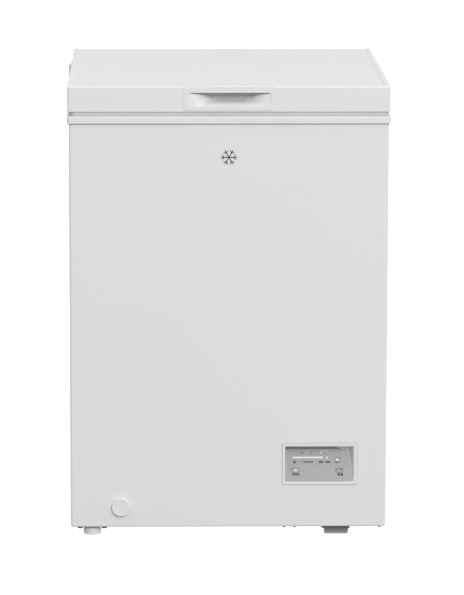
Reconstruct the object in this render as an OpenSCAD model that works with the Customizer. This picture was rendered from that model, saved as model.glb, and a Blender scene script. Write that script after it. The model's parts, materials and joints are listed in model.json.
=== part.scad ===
// Chest freezer: foamed steel cabinet, top-hinged lid, compressor compartment at the lower right.
// Millimetres, +Z up, front towards -Y. Origin: floor level, centre of the footprint.

/* [Overall] */
// Width of the steel cabinet
body_w = 600; // [590:1:610]
// Width of the lid
lid_w = 605; // [602:1:608]
// Overall depth, from the drain cap to the hinge channels
overall_d = 725; // [715:1:740]
// Overall height with the lid closed
total_h = 862; // [847:1:882]

/* [Cabinet] */
// Height of the cabinet's lower edge above the floor
foot_h = 18; // [16:0.5:20]
// Thickness of the outer steel skin
skin = 1; // [0.8:0.1:1.2]
// Radius of the cabinet's front corners
corner_r = 5; // [3:0.5:8]
// Wall thickness from outer skin to the inside of the well
wall = 65; // [62:1:68]
// Thickness of the well's liner
liner_t = 1.2; // [1:0.1:1.5]
// Height of the plastic frame on top of the cabinet
frame_h = 13.5; // [12:0.5:15]
// Width of the machine compartment
compartment_w = 200; // [196:1:204]
// Height of the machine compartment's roof above the floor
compartment_top = 252; // [248:1:262]

/* [Lid] */
// Height of the lid's sides
lid_h = 49.5; // [46:0.5:54]
// Gap between frame and lid, filled by the gasket
gasket_h = 8; // [7:0.5:9]
// Outer radius of the folds along the lid's front and back
fold_r = 4; // [3:0.5:5]
// Width of the raised strip along each side of the lid
strip_w = 10.5; // [8:0.5:13]
// How far the gasket sits in from the lid's back
gasket_inset = 19; // [17:0.5:22]
// How far the gasket sits in from the lid's sides
gasket_side = 3.5; // [3:0.5:22]
// How far the gasket sits behind the lid's front
gasket_front = 6; // [5:0.5:12]
// Depth of the lid's inner plug below the gasket groove
plug_drop = 15.5; // [12:0.5:15.5]

/* [Handle] */
// Width of the handle insert
handle_w = 169; // [150:1:190]
// Depth of the finger pocket
pocket_d = 26; // [20:1:30]

/* [Control panel] */
// Width of the panel's bezel
panel_w = 142.6; // [138:0.2:146]
// Height of the panel's bezel
panel_h = 80; // [76:1:84]
// Height of the bezel's lower edge
panel_z = 99.9; // [90:0.1:110]
// Depth of the recess at its top edge
panel_d = 24; // [20:1:28]
// Button travel
button_travel = 0.6; // [0.4:0.1:0.8]

/* [Hinge] */
// Distance of each hinge from the centre line
hinge_x = 238; // [232:1:240]
// Radius of the hinge pin
pin_r = 3; // [2.5:0.1:3.2]
// Cam radius under the pin with the lid closed
cam_r = 11; // [10.8:0.1:11.1]
// Plunger travel in millimetres per radian of lid opening
cam_lift = 2.5; // [2.2:0.1:2.5]
// Outer radius of the hinge spring
spring_r = 7; // [6:0.5:7.5]
// Turns of the hinge spring
spring_turns = 9; // [7:1:10]

/* [Basket] */
// Width of the wire basket
basket_w = 192; // [170:1:194]
// Height of the wire basket
basket_h = 180; // [120:5:220]

/* [Hidden] */
$fn = 48;

white_paint = [0.90, 0.90, 0.90];
white_plastic = [0.92, 0.92, 0.92];
grey_plastic = [0.66, 0.66, 0.67];
dark_plastic = [0.22, 0.22, 0.23];
zinc = [0.72, 0.73, 0.75];
copper = [0.72, 0.45, 0.30];
foam_colour = [0.93, 0.87, 0.68];
rubber_grey = [0.76, 0.76, 0.77];

// Fit gaps
slip = 0.2;
fit = 0.3;
running = 0.05;

// Cabinet planes
cap_proud = 7;
rear_reach = 24;
body_front = -overall_d / 2 + cap_proud;
body_back = overall_d / 2 - rear_reach;
shell_z0 = foot_h;
lid_z0 = total_h - lid_h;
frame_z1 = lid_z0 - gasket_h;
frame_z0 = frame_z1 - frame_h;
shell_z1 = frame_z0 - 0.5;
frame_w = body_w + 7;
frame_front = body_front - 3.8;
frame_back = body_back + 1.8;

// Well: inner faces of the liner
well_w = body_w - 2 * wall;
well_y0 = body_front + wall;
well_y1 = body_back - wall;
well_z0 = foot_h + wall;
well_r = 22;
ledge_w = 15;
ledge_z = frame_z1 - 16.5;
plate_t = 2.5;
skirt_drop = 18;
compartment_x = body_w / 2 - compartment_w;
step_x = compartment_x - wall + 3;
step_z = compartment_top + wall - 5;
foam_gap = 0.2;
foam_z0 = foot_h + 2.4;
foam_ledge_z = ledge_z - plate_t - foam_gap;
foam_top_z = frame_z1 - plate_t - foam_gap;

// Coils
condenser_r = 2.4;
condenser_pitch = 84;
condenser_bend = 15;
condenser_x = body_w / 2 - skin - fit - condenser_r;
condenser_y0 = body_front + skin + fit + condenser_r;
condenser_y1 = body_back - 40;
condenser_runs = 8;
short_runs = 4;
condenser_low = 90;
evaporator_r = 3.2;
evaporator_pitch = 64;
evaporator_bend = 14;
evaporator_levels = 6;
evaporator_low = step_z + 32;
evaporator_x = well_w / 2 + liner_t + fit + evaporator_r;
evaporator_y0 = well_y0 - liner_t - fit - evaporator_r;
evaporator_y1 = well_y1 - 30;
groove = 0.8;

// Lid planes
lid_front = body_front - 3;
lid_back = body_back + 3;
strip_h = 1.3;
lid_top = total_h - strip_h - 0.1;
sheet = 1;
cap_wall = 2;
flange = 12.5;
lid_liner_t = 1.5;
plug_w = well_w + 10;
plug_y0 = well_y0 - 5.5;
plug_y1 = well_y1 + 5.5;
plug_z = lid_z0 - plug_drop;
plug_r = 18;

// Handle
handle_z0 = lid_z0 + 2.5;
handle_z1 = lid_top;
pocket_z0 = lid_z0 + 10.5;
pocket_z1 = lid_z0 + 36.5;
pocket_back_z0 = lid_z0 + 15;
pocket_x0 = -76;
pocket_x1 = 79;
pocket_back_x = 50;
bezel_proud = 1.2;

// Control panel
panel_x = 173.7;
bezel_t = 1.9;
bezel_rim = 5.9;
panel_face = body_front - bezel_t - 0.1;
recess_x0 = panel_x - panel_w / 2 + 5.5;
recess_x1 = panel_x + panel_w / 2 - 7.1;
recess_z0 = panel_z + bezel_rim;
recess_z1 = panel_z + panel_h - bezel_rim;
recess_draft = 9;
fascia_y0 = panel_face + 1.5;
fascia_z0 = recess_z0 + 0.4;
fascia_y1 = panel_face + panel_d - 1;
fascia_z1 = recess_z1 - 11;
fascia_tilt = atan2(fascia_y1 - fascia_y0, fascia_z1 - fascia_z0);
fascia_len = norm([fascia_y1 - fascia_y0, fascia_z1 - fascia_z0]);
fascia_t = 1.5;
fascia_seat = 1.75;
button_size = [15, 9];
button_v = 21;
button_proud = 0.8;
set_button_x = 127.5;
fast_button_x = 211;

// Drain
drain_x = -204;
drain_y = well_y0 + 55;
drain_z = 57.3;
drain_r = 9;
drain_bore = 7;
cap_r = 18;
plug_head_r = 15;

// Compressor
compressor_x = compartment_x + 100;
compressor_y = body_back - 112;
compressor_r = 62;
base_t = 2.5;
compressor_z0 = 38.9;
compressor_z1 = 176;
grommet_dx = 68;
grommet_dy = 82;
grommet_z0 = foot_h + 1 + base_t + 0.1;
grommet_z1 = compressor_z0 - 2.7;

// Feet
left_foot_x = -259;
right_foot_x = 206.6;
front_foot_y = body_front + 29;
rear_foot_y = body_back - 38;
stem_r = 4;
pad_r = 16.5;
pad_h = 14.5;
bracket_z0 = 15;

// Hinge
pivot_y = body_back + 13.5;
pivot_z = frame_z1 + 0.5;
channel_half = 22;
channel_t = 2;
channel_z0 = frame_z1 - 114.5;
arm_cheek = 18.5;
arm_t = 2.5;
cam_half = 6;
bore_r = pin_r + running + 0.05;
plunger_top = pivot_z - cam_r - fit;
plunger_h = 20;
screw_z = [channel_z0 + 20, channel_z0 + 85];
grille_x0 = compartment_x + 5;
grille_x1 = body_w / 2 - 6;
grille_z0 = foot_h + 8;
grille_z1 = compartment_top - 6;
basket_corner = 18;

// ---------- helpers ----------

// Plan outline with four rounded corners
module plan(w, y0, y1, r) {
    translate([-w / 2 + r, y0]) square([w - 2 * r, y1 - y0]);
    translate([-w / 2, y0 + r]) square([w, y1 - y0 - 2 * r]);
    for (sx = [-1, 1], y = [y0 + r, y1 - r])
        translate([sx * (w / 2 - r), y]) circle(r);
}

// Ring between two plan outlines, from z0 to z1
module plan_ring(z0, z1, w, y0, y1, r, inset) {
    translate([0, 0, z0])
        linear_extrude(z1 - z0)
            difference() {
                plan(w, y0, y1, r);
                plan(w - 2 * inset, y0 + inset, y1 - inset, max(r - inset, 1));
            }
}

// Cabinet plan: rounded front corners, square at the back
module cabinet_plan(w, front, r, back) {
    translate([-w / 2 + r, front]) square([w - 2 * r, back - front]);
    translate([-w / 2, front + r]) square([w, back - front - r]);
    for (sx = [-1, 1])
        translate([sx * (w / 2 - r), front + r]) circle(r);
}

// Box between two opposite corners
module box(a, b) {
    translate(a) cube(b - a);
}

// Extrude a Y-Z outline along X
module along_x(x0, x1) {
    translate([x0, 0, 0])
        rotate([90, 0, 90])
            linear_extrude(x1 - x0)
                children();
}

// Extrude an X-Z outline along Y
module along_y(y0, y1) {
    translate([0, y1, 0])
        rotate([90, 0, 0])
            linear_extrude(y1 - y0)
                children();
}

// Cylinder along Y from y0 to y1
module rod_y(x, z, y0, y1, r) {
    translate([x, y0, z])
        rotate([-90, 0, 0])
            cylinder(h = y1 - y0, r = r);
}

// Cylinder along X from x0 to x1
module rod_x(y, z, x0, x1, r) {
    translate([x0, y, z])
        rotate([0, 90, 0])
            cylinder(h = x1 - x0, r = r);
}

// Rounded rectangle centred on the origin
module pill(w, h, r) {
    square([w - 2 * r, h], center = true);
    square([w, h - 2 * r], center = true);
    for (sx = [-1, 1], sy = [-1, 1])
        translate([sx * (w / 2 - r), sy * (h / 2 - r)]) circle(r);
}

function unit(v) = v / norm(v);
function square_to(d) = abs(d[2]) < 0.5 ? [0, 0, 1] : [1, 0, 0];
function frame_matrix(ex, ey, o) =
    let (ez = cross(ex, ey))
    [[ex[0], ey[0], ez[0], o[0]], [ex[1], ey[1], ez[1], o[1]], [ex[2], ey[2], ez[2], o[2]],
     [0, 0, 0, 1]];

// Round tube along points that turn by right angles, with bends of radius bend
module tube(points, r, bend) {
    last = len(points) - 1;
    for (i = [0 : last - 1]) {
        d = unit(points[i + 1] - points[i]);
        a = points[i] + d * (i == 0 ? 0 : bend);
        b = points[i + 1] - d * (i == last - 1 ? 0 : bend);
        if (norm(b - a) > 0.01) {
            ex = square_to(d);
            multmatrix(frame_matrix(ex, cross(d, ex), a))
                cylinder(h = norm(b - a), r = r);
        }
    }
    if (last > 1)
        for (i = [1 : last - 1]) {
            d1 = unit(points[i] - points[i - 1]);
            d2 = unit(points[i + 1] - points[i]);
            multmatrix(frame_matrix(-d2, d1, points[i] - bend * d1 + bend * d2))
                rotate_extrude(angle = 90)
                    translate([bend, 0]) circle(r);
        }
}

// Places children on the inclined fascia: +Y up the slope, +Z out of its face
module on_fascia() {
    translate([0, fascia_y0, fascia_z0])
        rotate([90 - fascia_tilt, 0, 0])
            children();
}

// Outlines of the light windows on the fascia
module window_outlines() {
    translate([151, 46]) pill(58.6, 3.4, 1.65);
    translate([188, 45.6]) circle(2);
    translate([207.7, 41.8]) pill(6.4, 3.6, 1.75);
}

// Outline of a control button
module button_outline(x, grow) {
    translate([x, button_v])
        pill(button_size[0] + 2 * grow, button_size[1] + 2 * grow, 2 + grow);
}

// ---------- cabinet ----------

module outer_shell() {
    color(white_paint)
    difference() {
        union() {
            translate([0, 0, shell_z0])
                linear_extrude(shell_z1 - shell_z0)
                    difference() {
                        cabinet_plan(body_w, body_front, corner_r, body_back);
                        cabinet_plan(body_w - 2 * skin, body_front + skin, corner_r - skin, body_back + 1);
                    }
            translate([0, 0, shell_z0])
                linear_extrude(1)
                    difference() {
                        cabinet_plan(body_w - skin, body_front + skin / 2, corner_r - skin, body_back);
                        cabinet_plan(body_w - 28, body_front + 14, corner_r, body_back + 1);
                    }
        }
        box([recess_x0 - 2.1, body_front - 1, recess_z0 - 2.2],
            [recess_x1 + 3.6, body_front + skin + 1, recess_z1 + 2.4]);
        rod_y(drain_x, drain_z, body_front - 1, body_front + skin + 1, drain_r + 1);
    }
}

module back_panel() {
    color(zinc)
    difference() {
        union() {
            box([-body_w / 2 + skin, body_back - skin, foot_h + 1],
                [body_w / 2 - skin, body_back, shell_z1]);
            for (z = [320, 440, 560])
                box([-180, body_back - 0.5, z], [180, body_back + 2, z + 10]);
        }
        box([grille_x0 + 6, body_back - 5, grille_z0 + 6],
            [grille_x1 - 6, body_back + 5, grille_z1 - 6]);
        for (sx = [-1, 1], z = screw_z)
            rod_y(sx * hinge_x, z, body_back - 5, body_back + 5, 2.2);
        for (x = [grille_x0 + 3, grille_x1 - 3], z = [grille_z0 + 12, grille_z1 - 12])
            rod_y(x, z, body_back - 5, body_back + 5, 1.6);
    }
}

module base_pan() {
    color(zinc)
    difference() {
        box([-body_w / 2 + skin + 0.2, body_front + skin + 0.2, foot_h + 1],
            [body_w / 2 - skin - 0.2, body_back - skin, foot_h + 2.2]);
        box([compartment_x + 6, compressor_y - 100, foot_h],
            [body_w / 2 - 6, body_back + 1, foot_h + 5]);
        for (k = [0 : 8])
            box([compartment_x + 30, body_front + 120 + 18 * k, foot_h],
                [compartment_x + 150, body_front + 128 + 18 * k, foot_h + 5]);
        for (y = [front_foot_y, rear_foot_y])
            translate([left_foot_x, y, foot_h]) cylinder(h = 5, r = stem_r + 1);
    }
}

// Inside space of the well: full depth at the left, above the step at the right
module well_space(grow, top) {
    w = well_w + 2 * grow;
    translate([0, 0, step_z - grow])
        linear_extrude(top - step_z + grow)
            plan(w, well_y0 - grow, well_y1 + grow, well_r + grow);
    translate([0, 0, well_z0 - grow])
        linear_extrude(top - well_z0 + grow)
            intersection() {
                plan(w, well_y0 - grow, well_y1 + grow, well_r + grow);
                translate([-well_w, well_y0 - 50])
                    square([well_w + step_x + grow, well_y1 - well_y0 + 100]);
            }
}

module inner_liner() {
    color(white_paint)
    difference() {
        well_space(liner_t, foam_ledge_z);
        well_space(0, foam_ledge_z + 1);
        translate([drain_x, drain_y, well_z0 - 5]) cylinder(h = 10, r = drain_r + 0.1);
    }
}

// Groove in the foam for the runs and bends of one side of the condenser
module side_groove(sx, low, runs) {
    c = condenser_r + groove;
    b = condenser_bend + c;
    top = low + (runs - 1) * condenser_pitch;
    inner = sx * (condenser_x - c);
    outer = sx * body_w / 2;
    x0 = min(inner, outer);
    x1 = max(inner, outer);
    for (k = [0 : runs - 1])
        box([x0, condenser_y0 + 30, low + k * condenser_pitch - c],
            [x1, condenser_y1 + c, low + k * condenser_pitch + c]);
    box([x0, condenser_y0 + 30 - b, low - c], [x1, condenser_y0 + 30 + b, top + c]);
    box([x0, condenser_y1 - b, low - c], [x1, condenser_y1 + c, top + c]);
}

// Grooves in the foam that the two coils lie in
module coil_grooves() {
    c = condenser_r + groove;
    top = condenser_low + (condenser_runs - 1) * condenser_pitch;
    side_groove(-1, condenser_low, condenser_runs);
    side_groove(1, top - (short_runs - 1) * condenser_pitch, short_runs);
    box([-body_w / 2, body_front, top - c], [body_w / 2, condenser_y0 + c, top + c]);
    for (sx = [-1, 1])
        box([sx * condenser_x - condenser_bend - c, body_front, top - c],
            [sx * condenser_x + condenser_bend + c, condenser_y0 + 31, top + c]);
    e = evaporator_r + groove;
    for (k = [0 : evaporator_levels - 1])
        box([-evaporator_x - e, evaporator_y0 - e, evaporator_low + k * evaporator_pitch - e],
            [evaporator_x + e, evaporator_y1 + e, evaporator_low + k * evaporator_pitch + e]);
    for (sx = [-1, 1])
        box([sx * evaporator_x - e, evaporator_y1 - evaporator_bend - e, evaporator_low],
            [sx * evaporator_x + e, evaporator_y1 + e,
             evaporator_low + (evaporator_levels - 1) * evaporator_pitch]);
}

module insulation_foam() {
    half = body_w / 2 - skin - foam_gap;
    color(foam_colour)
    difference() {
        translate([0, 0, foam_z0])
            linear_extrude(foam_top_z - foam_z0)
                cabinet_plan(2 * half, body_front + skin + foam_gap, corner_r,
                             body_back - skin - foam_gap);
        well_space(liner_t + foam_gap, foam_top_z + 1);
        translate([0, 0, foam_ledge_z])
            linear_extrude(30)
                plan(well_w + 2 * ledge_w + 2 * plate_t + 2 * foam_gap,
                     well_y0 - ledge_w - plate_t - foam_gap,
                     well_y1 + ledge_w + plate_t + foam_gap, well_r + ledge_w);
        box([compartment_x - 1.1 - foam_gap, body_front, 0],
            [body_w, body_back, compartment_top + foam_gap]);
        coil_grooves();
        translate([drain_x, drain_y, drain_z]) cylinder(h = 60, r = drain_r + foam_gap);
        rod_y(drain_x, drain_z, body_front - 5, drain_y + drain_r, drain_r + foam_gap);
        translate([drain_x, drain_y, drain_z]) sphere(drain_r + foam_gap);
        for (y = [front_foot_y, rear_foot_y])
            translate([left_foot_x, y, 0]) cylinder(h = 40, r = stem_r + 2);
        translate([compartment_x + 80, 0, compartment_top - 5])
            cylinder(h = step_z - compartment_top, r = 4.5);
    }
}

module top_frame() {
    color(white_plastic) {
        plan_ring(frame_z0, frame_z1, frame_w, frame_front, frame_back, 7, plate_t);
        plan_ring(frame_z1 - plate_t, frame_z1, frame_w - 1, frame_front + 0.5,
                  frame_back - 0.5, 6.5, 30);
        translate([0, 0, frame_z1 - plate_t])
            linear_extrude(plate_t)
                difference() {
                    plan(frame_w - 2, frame_front + 1, frame_back - 1, 6);
                    plan(well_w + 2 * ledge_w, well_y0 - ledge_w, well_y1 + ledge_w,
                         well_r + ledge_w);
                }
        plan_ring(ledge_z - plate_t, frame_z1, well_w + 2 * (ledge_w + plate_t),
                  well_y0 - ledge_w - plate_t, well_y1 + ledge_w + plate_t,
                  well_r + ledge_w + plate_t, plate_t);
        translate([0, 0, ledge_z - plate_t])
            linear_extrude(plate_t)
                difference() {
                    plan(well_w + 2 * ledge_w + 1, well_y0 - ledge_w - 0.5,
                         well_y1 + ledge_w + 0.5, well_r + ledge_w);
                    plan(well_w - 4.4, well_y0 + 2.2, well_y1 - 2.2, well_r - 2.2);
                }
        plan_ring(ledge_z - skirt_drop, ledge_z, well_w - 2 * slip, well_y0 + slip,
                  well_y1 - slip, well_r, 2);
    }
}

module compartment_wall() {
    color(zinc) {
        difference() {
            box([compartment_x - 1.1, body_front + skin + 0.3, foot_h + 2.4],
                [body_w / 2 - skin - 0.3, body_back - skin - 0.2, compartment_top]);
            box([compartment_x, body_front - 5, 0],
                [body_w, body_back + 5, compartment_top - 1.1]);
            translate([compartment_x + 80, 0, compartment_top - 5]) cylinder(h = 10, r = 4.2);
        }
    }
}

// ---------- cooling circuit ----------

module at_compressor() {
    translate([compressor_x, compressor_y, 0]) children();
}

module at_grommets() {
    for (sx = [-1, 1], sy = [-1, 1])
        translate([compressor_x + sx * grommet_dx, compressor_y + sy * grommet_dy, 0])
            children();
}

module compressor_base() {
    color(zinc)
    difference() {
        union() {
            box([compartment_x + 7, compressor_y - 99, foot_h + 1],
                [body_w / 2 - 7, body_back - skin - 0.2, foot_h + 1 + base_t]);
            box([compartment_x + 7, compressor_y - 99, foot_h + 1],
                [body_w / 2 - 7, compressor_y - 99 + base_t, foot_h + 14]);
        }
        at_grommets() cylinder(h = 60, r = 4.2);
    }
}

module compressor() {
    dome_r = 30;
    h = compressor_z1 - compressor_z0 - 2.5;
    color([0.10, 0.10, 0.11]) {
        at_compressor()
            translate([0, 0, compressor_z0 + 2.4])
                rotate_extrude() {
                    square([compressor_r - dome_r, h]);
                    translate([0, dome_r]) square([compressor_r, h - 2 * dome_r]);
                    for (z = [dome_r, h - dome_r])
                        intersection() {
                            translate([compressor_r - dome_r, z]) circle(dome_r);
                            square([compressor_r, h]);
                        }
                    translate([0, h * 0.55]) square([compressor_r + 3, 6]);
                }
        difference() {
            at_compressor()
                translate([-grommet_dx - 13, -grommet_dy - 13, compressor_z0 - 2.5])
                    cube([2 * grommet_dx + 26, 2 * grommet_dy + 26, 5]);
            at_grommets() cylinder(h = 60, r = 6);
            for (sy = [-1, 1])
                at_compressor()
                    translate([-grommet_dx + 20, sy * (grommet_dy - 2) - 18, 0])
                        cube([2 * grommet_dx - 40, 36, 60]);
        }
    }
}

module compressor_grommets() {
    color(dark_plastic)
    at_grommets()
        difference() {
            translate([0, 0, grommet_z0]) cylinder(h = grommet_z1 - grommet_z0, r = 11);
            cylinder(h = 60, r = 4.2);
        }
}

module compressor_bolts() {
    color(zinc)
    at_grommets() {
        translate([0, 0, foot_h]) cylinder(h = 30, r = 4);
        translate([0, 0, compressor_z0 + 2.7]) cylinder(h = 1.5, r = 9);
        translate([0, 0, compressor_z0 + 4.2]) cylinder(h = 6, r = 6.5, $fn = 6);
    }
}

module terminal_cover() {
    y1 = compressor_y - compressor_r + 2;
    color(dark_plastic)
    difference() {
        box([compressor_x - 26, y1 - 34, 70], [compressor_x + 26, y1, 128]);
        box([compressor_x - 24, y1 - 32, 72], [compressor_x + 24, y1 + 1, 126]);
        at_compressor() cylinder(h = 300, r = compressor_r + 3.2);
        rod_y(compressor_x, 80, y1 - 40, y1 - 20, 4);
    }
}

module start_relay() {
    y1 = compressor_y - compressor_r - 4;
    color([0.85, 0.85, 0.82])
    box([compressor_x - 14, y1 - 22, 88], [compressor_x + 14, y1, 120]);
}

module suction_tube() {
    color(copper)
    tube([[compartment_x + 20, compressor_y, compartment_top - 1.3],
          [compartment_x + 20, compressor_y, 80],
          [compressor_x - compressor_r - 0.1, compressor_y, 80]], 4, 14);
}

module discharge_tube() {
    color(copper)
    tube([[compressor_x - 40, compressor_y - 50.2, 86],
          [compressor_x - 40, compressor_y - 96, 86],
          [compressor_x - 40, compressor_y - 96, compartment_top - 1.3]], 2.6, 10);
}

module process_tube() {
    color(copper)
    tube([[compressor_x + compressor_r + 0.1, compressor_y, 80],
          [compressor_x + compressor_r + 18, compressor_y, 80],
          [compressor_x + compressor_r + 18, compressor_y, 135]], 3, 9);
}

module filter_drier() {
    color(copper)
    translate([compartment_x + 40, compressor_y - 160, 0]) {
        translate([0, 0, 70])
            rotate_extrude() {
                translate([0, 12]) square([9, 90]);
                polygon([[0, 0], [3, 0], [9, 12], [0, 12]]);
                polygon([[0, 102], [9, 102], [3, 114], [0, 114]]);
            }
        translate([0, 0, 50]) cylinder(h = 20.5, r = 2.6);
        translate([0, 0, 50]) sphere(2.6);
    }
}

module capillary_tube() {
    x = compartment_x + 40;
    y = compressor_y - 160;
    color(copper)
    tube([[x, y, 184], [x, y, 226], [x, y - 60, 226], [x + 50, y - 60, 226],
          [x + 50, y - 60, compartment_top - 1.3]], 1.3, 8);
}

// Points of one serpentine on a cabinet side, from the bottom run up
function side_runs(x, low, runs) = [
    for (k = [0 : runs - 1], end = [0, 1])
        [x, (k + end) % 2 == 0 ? condenser_y1 : condenser_y0 + 30, low + k * condenser_pitch]
];

module condenser_coil() {
    top = condenser_low + (condenser_runs - 1) * condenser_pitch;
    left = side_runs(-condenser_x, condenser_low, condenser_runs);
    right = side_runs(condenser_x, top - (short_runs - 1) * condenser_pitch, short_runs);
    body = [for (i = [0 : len(left) - 2]) left[i]];
    tail = [for (i = [1 : len(right) - 1]) right[len(right) - 1 - i]];
    color(copper)
    tube(concat(body, [[-condenser_x, condenser_y0, top], [condenser_x, condenser_y0, top]], tail),
         condenser_r, condenser_bend);
}

// Points of the evaporator: round three sides of the well and back, one level up each time
function evaporator_level(k) =
    let (z = evaporator_low + k * evaporator_pitch, s = k % 2 == 0 ? 1 : -1)
    [[s * evaporator_x, evaporator_y1, z], [s * evaporator_x, evaporator_y0, z],
     [-s * evaporator_x, evaporator_y0, z], [-s * evaporator_x, evaporator_y1, z]];

module evaporator_coil() {
    color(copper)
    tube([for (k = [0 : evaporator_levels - 1]) each evaporator_level(k)],
         evaporator_r, evaporator_bend);
}

module temperature_probe() {
    color(zinc)
    translate([compartment_x + 80, 0, compartment_top - 14])
        cylinder(h = step_z - compartment_top + 6, r = 4);
}

// ---------- controls ----------

module control_housing() {
    back = panel_face + panel_d + 3;
    // the recess reaches past its stated depth behind the fascia's upper edge
    reach = 1.08;
    color(white_plastic)
    difference() {
        union() {
            along_y(panel_face, body_front - 0.1)
                translate([panel_x, panel_z + panel_h / 2]) pill(panel_w, panel_h, 4);
            box([recess_x0 - 1.9, panel_face + 1, recess_z0 - 2],
                [recess_x1 + 3.4, back, recess_z1 + 2.2]);
        }
        // recess with a sloping fascia and one drafted side
        intersection() {
            along_x(recess_x0, recess_x1)
                polygon([[panel_face - 1, recess_z0], [fascia_y0 + fascia_seat, recess_z0],
                         [fascia_y1 + fascia_seat, fascia_z1],
                         [panel_face + panel_d, fascia_z1], [panel_face + panel_d, recess_z1],
                         [panel_face - 1, recess_z1]]);
            translate([0, 0, recess_z0])
                linear_extrude(recess_z1 - recess_z0)
                    polygon([[recess_x0, panel_face - 1], [recess_x1, panel_face - 1],
                             [recess_x1, panel_face],
                             [recess_x1 - reach * recess_draft, panel_face + reach * panel_d],
                             [recess_x0, panel_face + reach * panel_d]]);
        }
        // space for the board behind the fascia
        along_x(recess_x0 + 3, recess_x1 - recess_draft - 3)
            polygon([[fascia_y0 + 1, recess_z0 + 3], [back + 1, recess_z0 + 3],
                     [back + 1, fascia_z1 - 3], [fascia_y1, fascia_z1 - 3]]);
    }
}

module control_fascia() {
    draft = recess_draft * (fascia_y1 - fascia_y0) / panel_d;
    x1 = recess_x1 - recess_draft * (fascia_y0 + fascia_t - panel_face) / panel_d - 0.3;
    color(grey_plastic)
    on_fascia()
        translate([0, 0, -fascia_t])
            linear_extrude(fascia_t)
                difference() {
                    polygon([[recess_x0 + 0.2, 0.6], [x1, 0.6], [x1 - draft, fascia_len - 0.2],
                             [recess_x0 + 0.2, fascia_len - 0.2]]);
                    window_outlines();
                    button_outline(set_button_x, 0.3);
                    button_outline(fast_button_x, 0.3);
                }
}

module indicator_windows() {
    color([0.97, 0.97, 0.97])
    on_fascia()
        translate([0, 0, -fascia_t])
            linear_extrude(fascia_t + 0.3)
                window_outlines();
}

module control_button(x) {
    color(grey_plastic)
    on_fascia() {
        translate([0, 0, -fascia_t])
            linear_extrude(fascia_t + button_proud)
                button_outline(x, 0);
        translate([x, button_v, -fascia_t - 1.5]) cylinder(h = 2, r = 2.5);
    }
}

module set_button() {
    control_button(set_button_x);
}

module fast_freeze_button() {
    control_button(fast_button_x);
}

module control_board() {
    color([0.10, 0.35, 0.18])
    on_fascia() {
        difference() {
            translate([recess_x0 + 4, 8, -fascia_t - 4.6])
                cube([recess_x1 - recess_x0 - recess_draft - 8, fascia_len - 24, 1.6]);
            for (x = [recess_x0 + 8, recess_x1 - recess_draft - 8])
                translate([x, 12, -20]) cylinder(h = 20, r = 1.6);
        }
        for (x = [set_button_x, fast_button_x])
            translate([x - 3, button_v - 3, -fascia_t - 3.1]) cube([6, 6, 0.9]);
    }
}

module wiring_loom() {
    color(dark_plastic)
    tube([[compartment_x + 60, panel_face + panel_d + 8, 60],
          [compartment_x + 60, compressor_y - 128, 60],
          [compressor_x, compressor_y - 128, 60],
          [compressor_x, compressor_y - 128, 80],
          [compressor_x, compressor_y - compressor_r - 28, 80]], 3, 9);
}

// ---------- drain ----------

module drain_tube() {
    color(white_plastic)
    difference() {
        union() {
            translate([drain_x, drain_y, drain_z]) cylinder(h = well_z0 - drain_z - 0.1, r = drain_r);
            rod_y(drain_x, drain_z, body_front + 0.1, drain_y, drain_r);
            translate([drain_x, drain_y, drain_z]) sphere(drain_r);
        }
        translate([drain_x, drain_y, drain_z]) cylinder(h = 60, r = drain_bore);
        rod_y(drain_x, drain_z, body_front - 5, drain_y, drain_bore);
        translate([drain_x, drain_y, drain_z]) sphere(drain_bore);
    }
}

module drain_cap() {
    color(white_plastic)
    translate([drain_x, body_front - 0.2, drain_z])
        rotate([90, 0, 0]) {
            rotate_extrude() {
                square([cap_r, cap_proud - 2.2]);
                square([cap_r - 2, cap_proud - 0.2]);
                translate([cap_r - 2, cap_proud - 2.2]) circle(2);
            }
            translate([0, 0, -14]) cylinder(h = 15, r = drain_bore - fit);
        }
}

module drain_plug() {
    color(dark_plastic)
    translate([drain_x, drain_y, well_z0]) {
        translate([0, 0, 0.2]) cylinder(h = 3, r = plug_head_r);
        translate([0, 0, -14]) cylinder(h = 15, r = drain_bore - fit);
        translate([0, 0, 3]) cylinder(h = 7, r = 4);
        translate([0, 0, 9]) cylinder(h = 2.5, r = 7);
    }
}

// ---------- feet ----------

// Open-topped tray under the base pan, reaching forward of the foot's centre by front
module foot_bracket(x, half, y, front, foot_x) {
    color(dark_plastic)
    difference() {
        box([x - half, y - front, bracket_z0], [x + half, y + 34, foot_h]);
        box([x - half + 2, y - front + 2, bracket_z0 + 2], [x + half - 2, y + 32, foot_h + 1]);
        translate([foot_x, y, 0]) cylinder(h = 40, r = stem_r + fit);
    }
}

module foot_brackets() {
    for (y = [front_foot_y, rear_foot_y]) {
        foot_bracket(left_foot_x, 28, y, 14, left_foot_x);
        // lugs beside the levelling foot
        color(dark_plastic)
        for (s = [-1, 1])
            box([left_foot_x + s * 23 - 5, y - 14, bracket_z0 - 2.5],
                [left_foot_x + s * 23 + 5, y - 12, bracket_z0 + 1]);
        foot_bracket(right_foot_x - 2, 27, y, 27, right_foot_x);
    }
}

module right_feet() {
    top = bracket_z0 - 0.1;
    color([0.42, 0.42, 0.43])
    for (y = [front_foot_y, rear_foot_y])
        translate([right_foot_x, y, 0]) {
            along_y(-10, 26)
                polygon([[-22, 0], [22, 0], [24.5, top], [-24.5, top]]);
            cylinder(h = bracket_z0 + 3.5, r = stem_r);
        }
}

module levelling_foot(y) {
    color(rubber_grey)
    translate([left_foot_x, y, 0]) {
        rotate_extrude() {
            square([pad_r - 4, pad_h]);
            translate([0, 4]) square([pad_r, pad_h - 4]);
            intersection() {
                translate([pad_r - 4, 4]) circle(4);
                square([pad_r, 8]);
            }
        }
        cylinder(h = 32, r = stem_r);
    }
}

module foot_front_left() {
    levelling_foot(front_foot_y);
}

module foot_rear_left() {
    levelling_foot(rear_foot_y);
}

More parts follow.
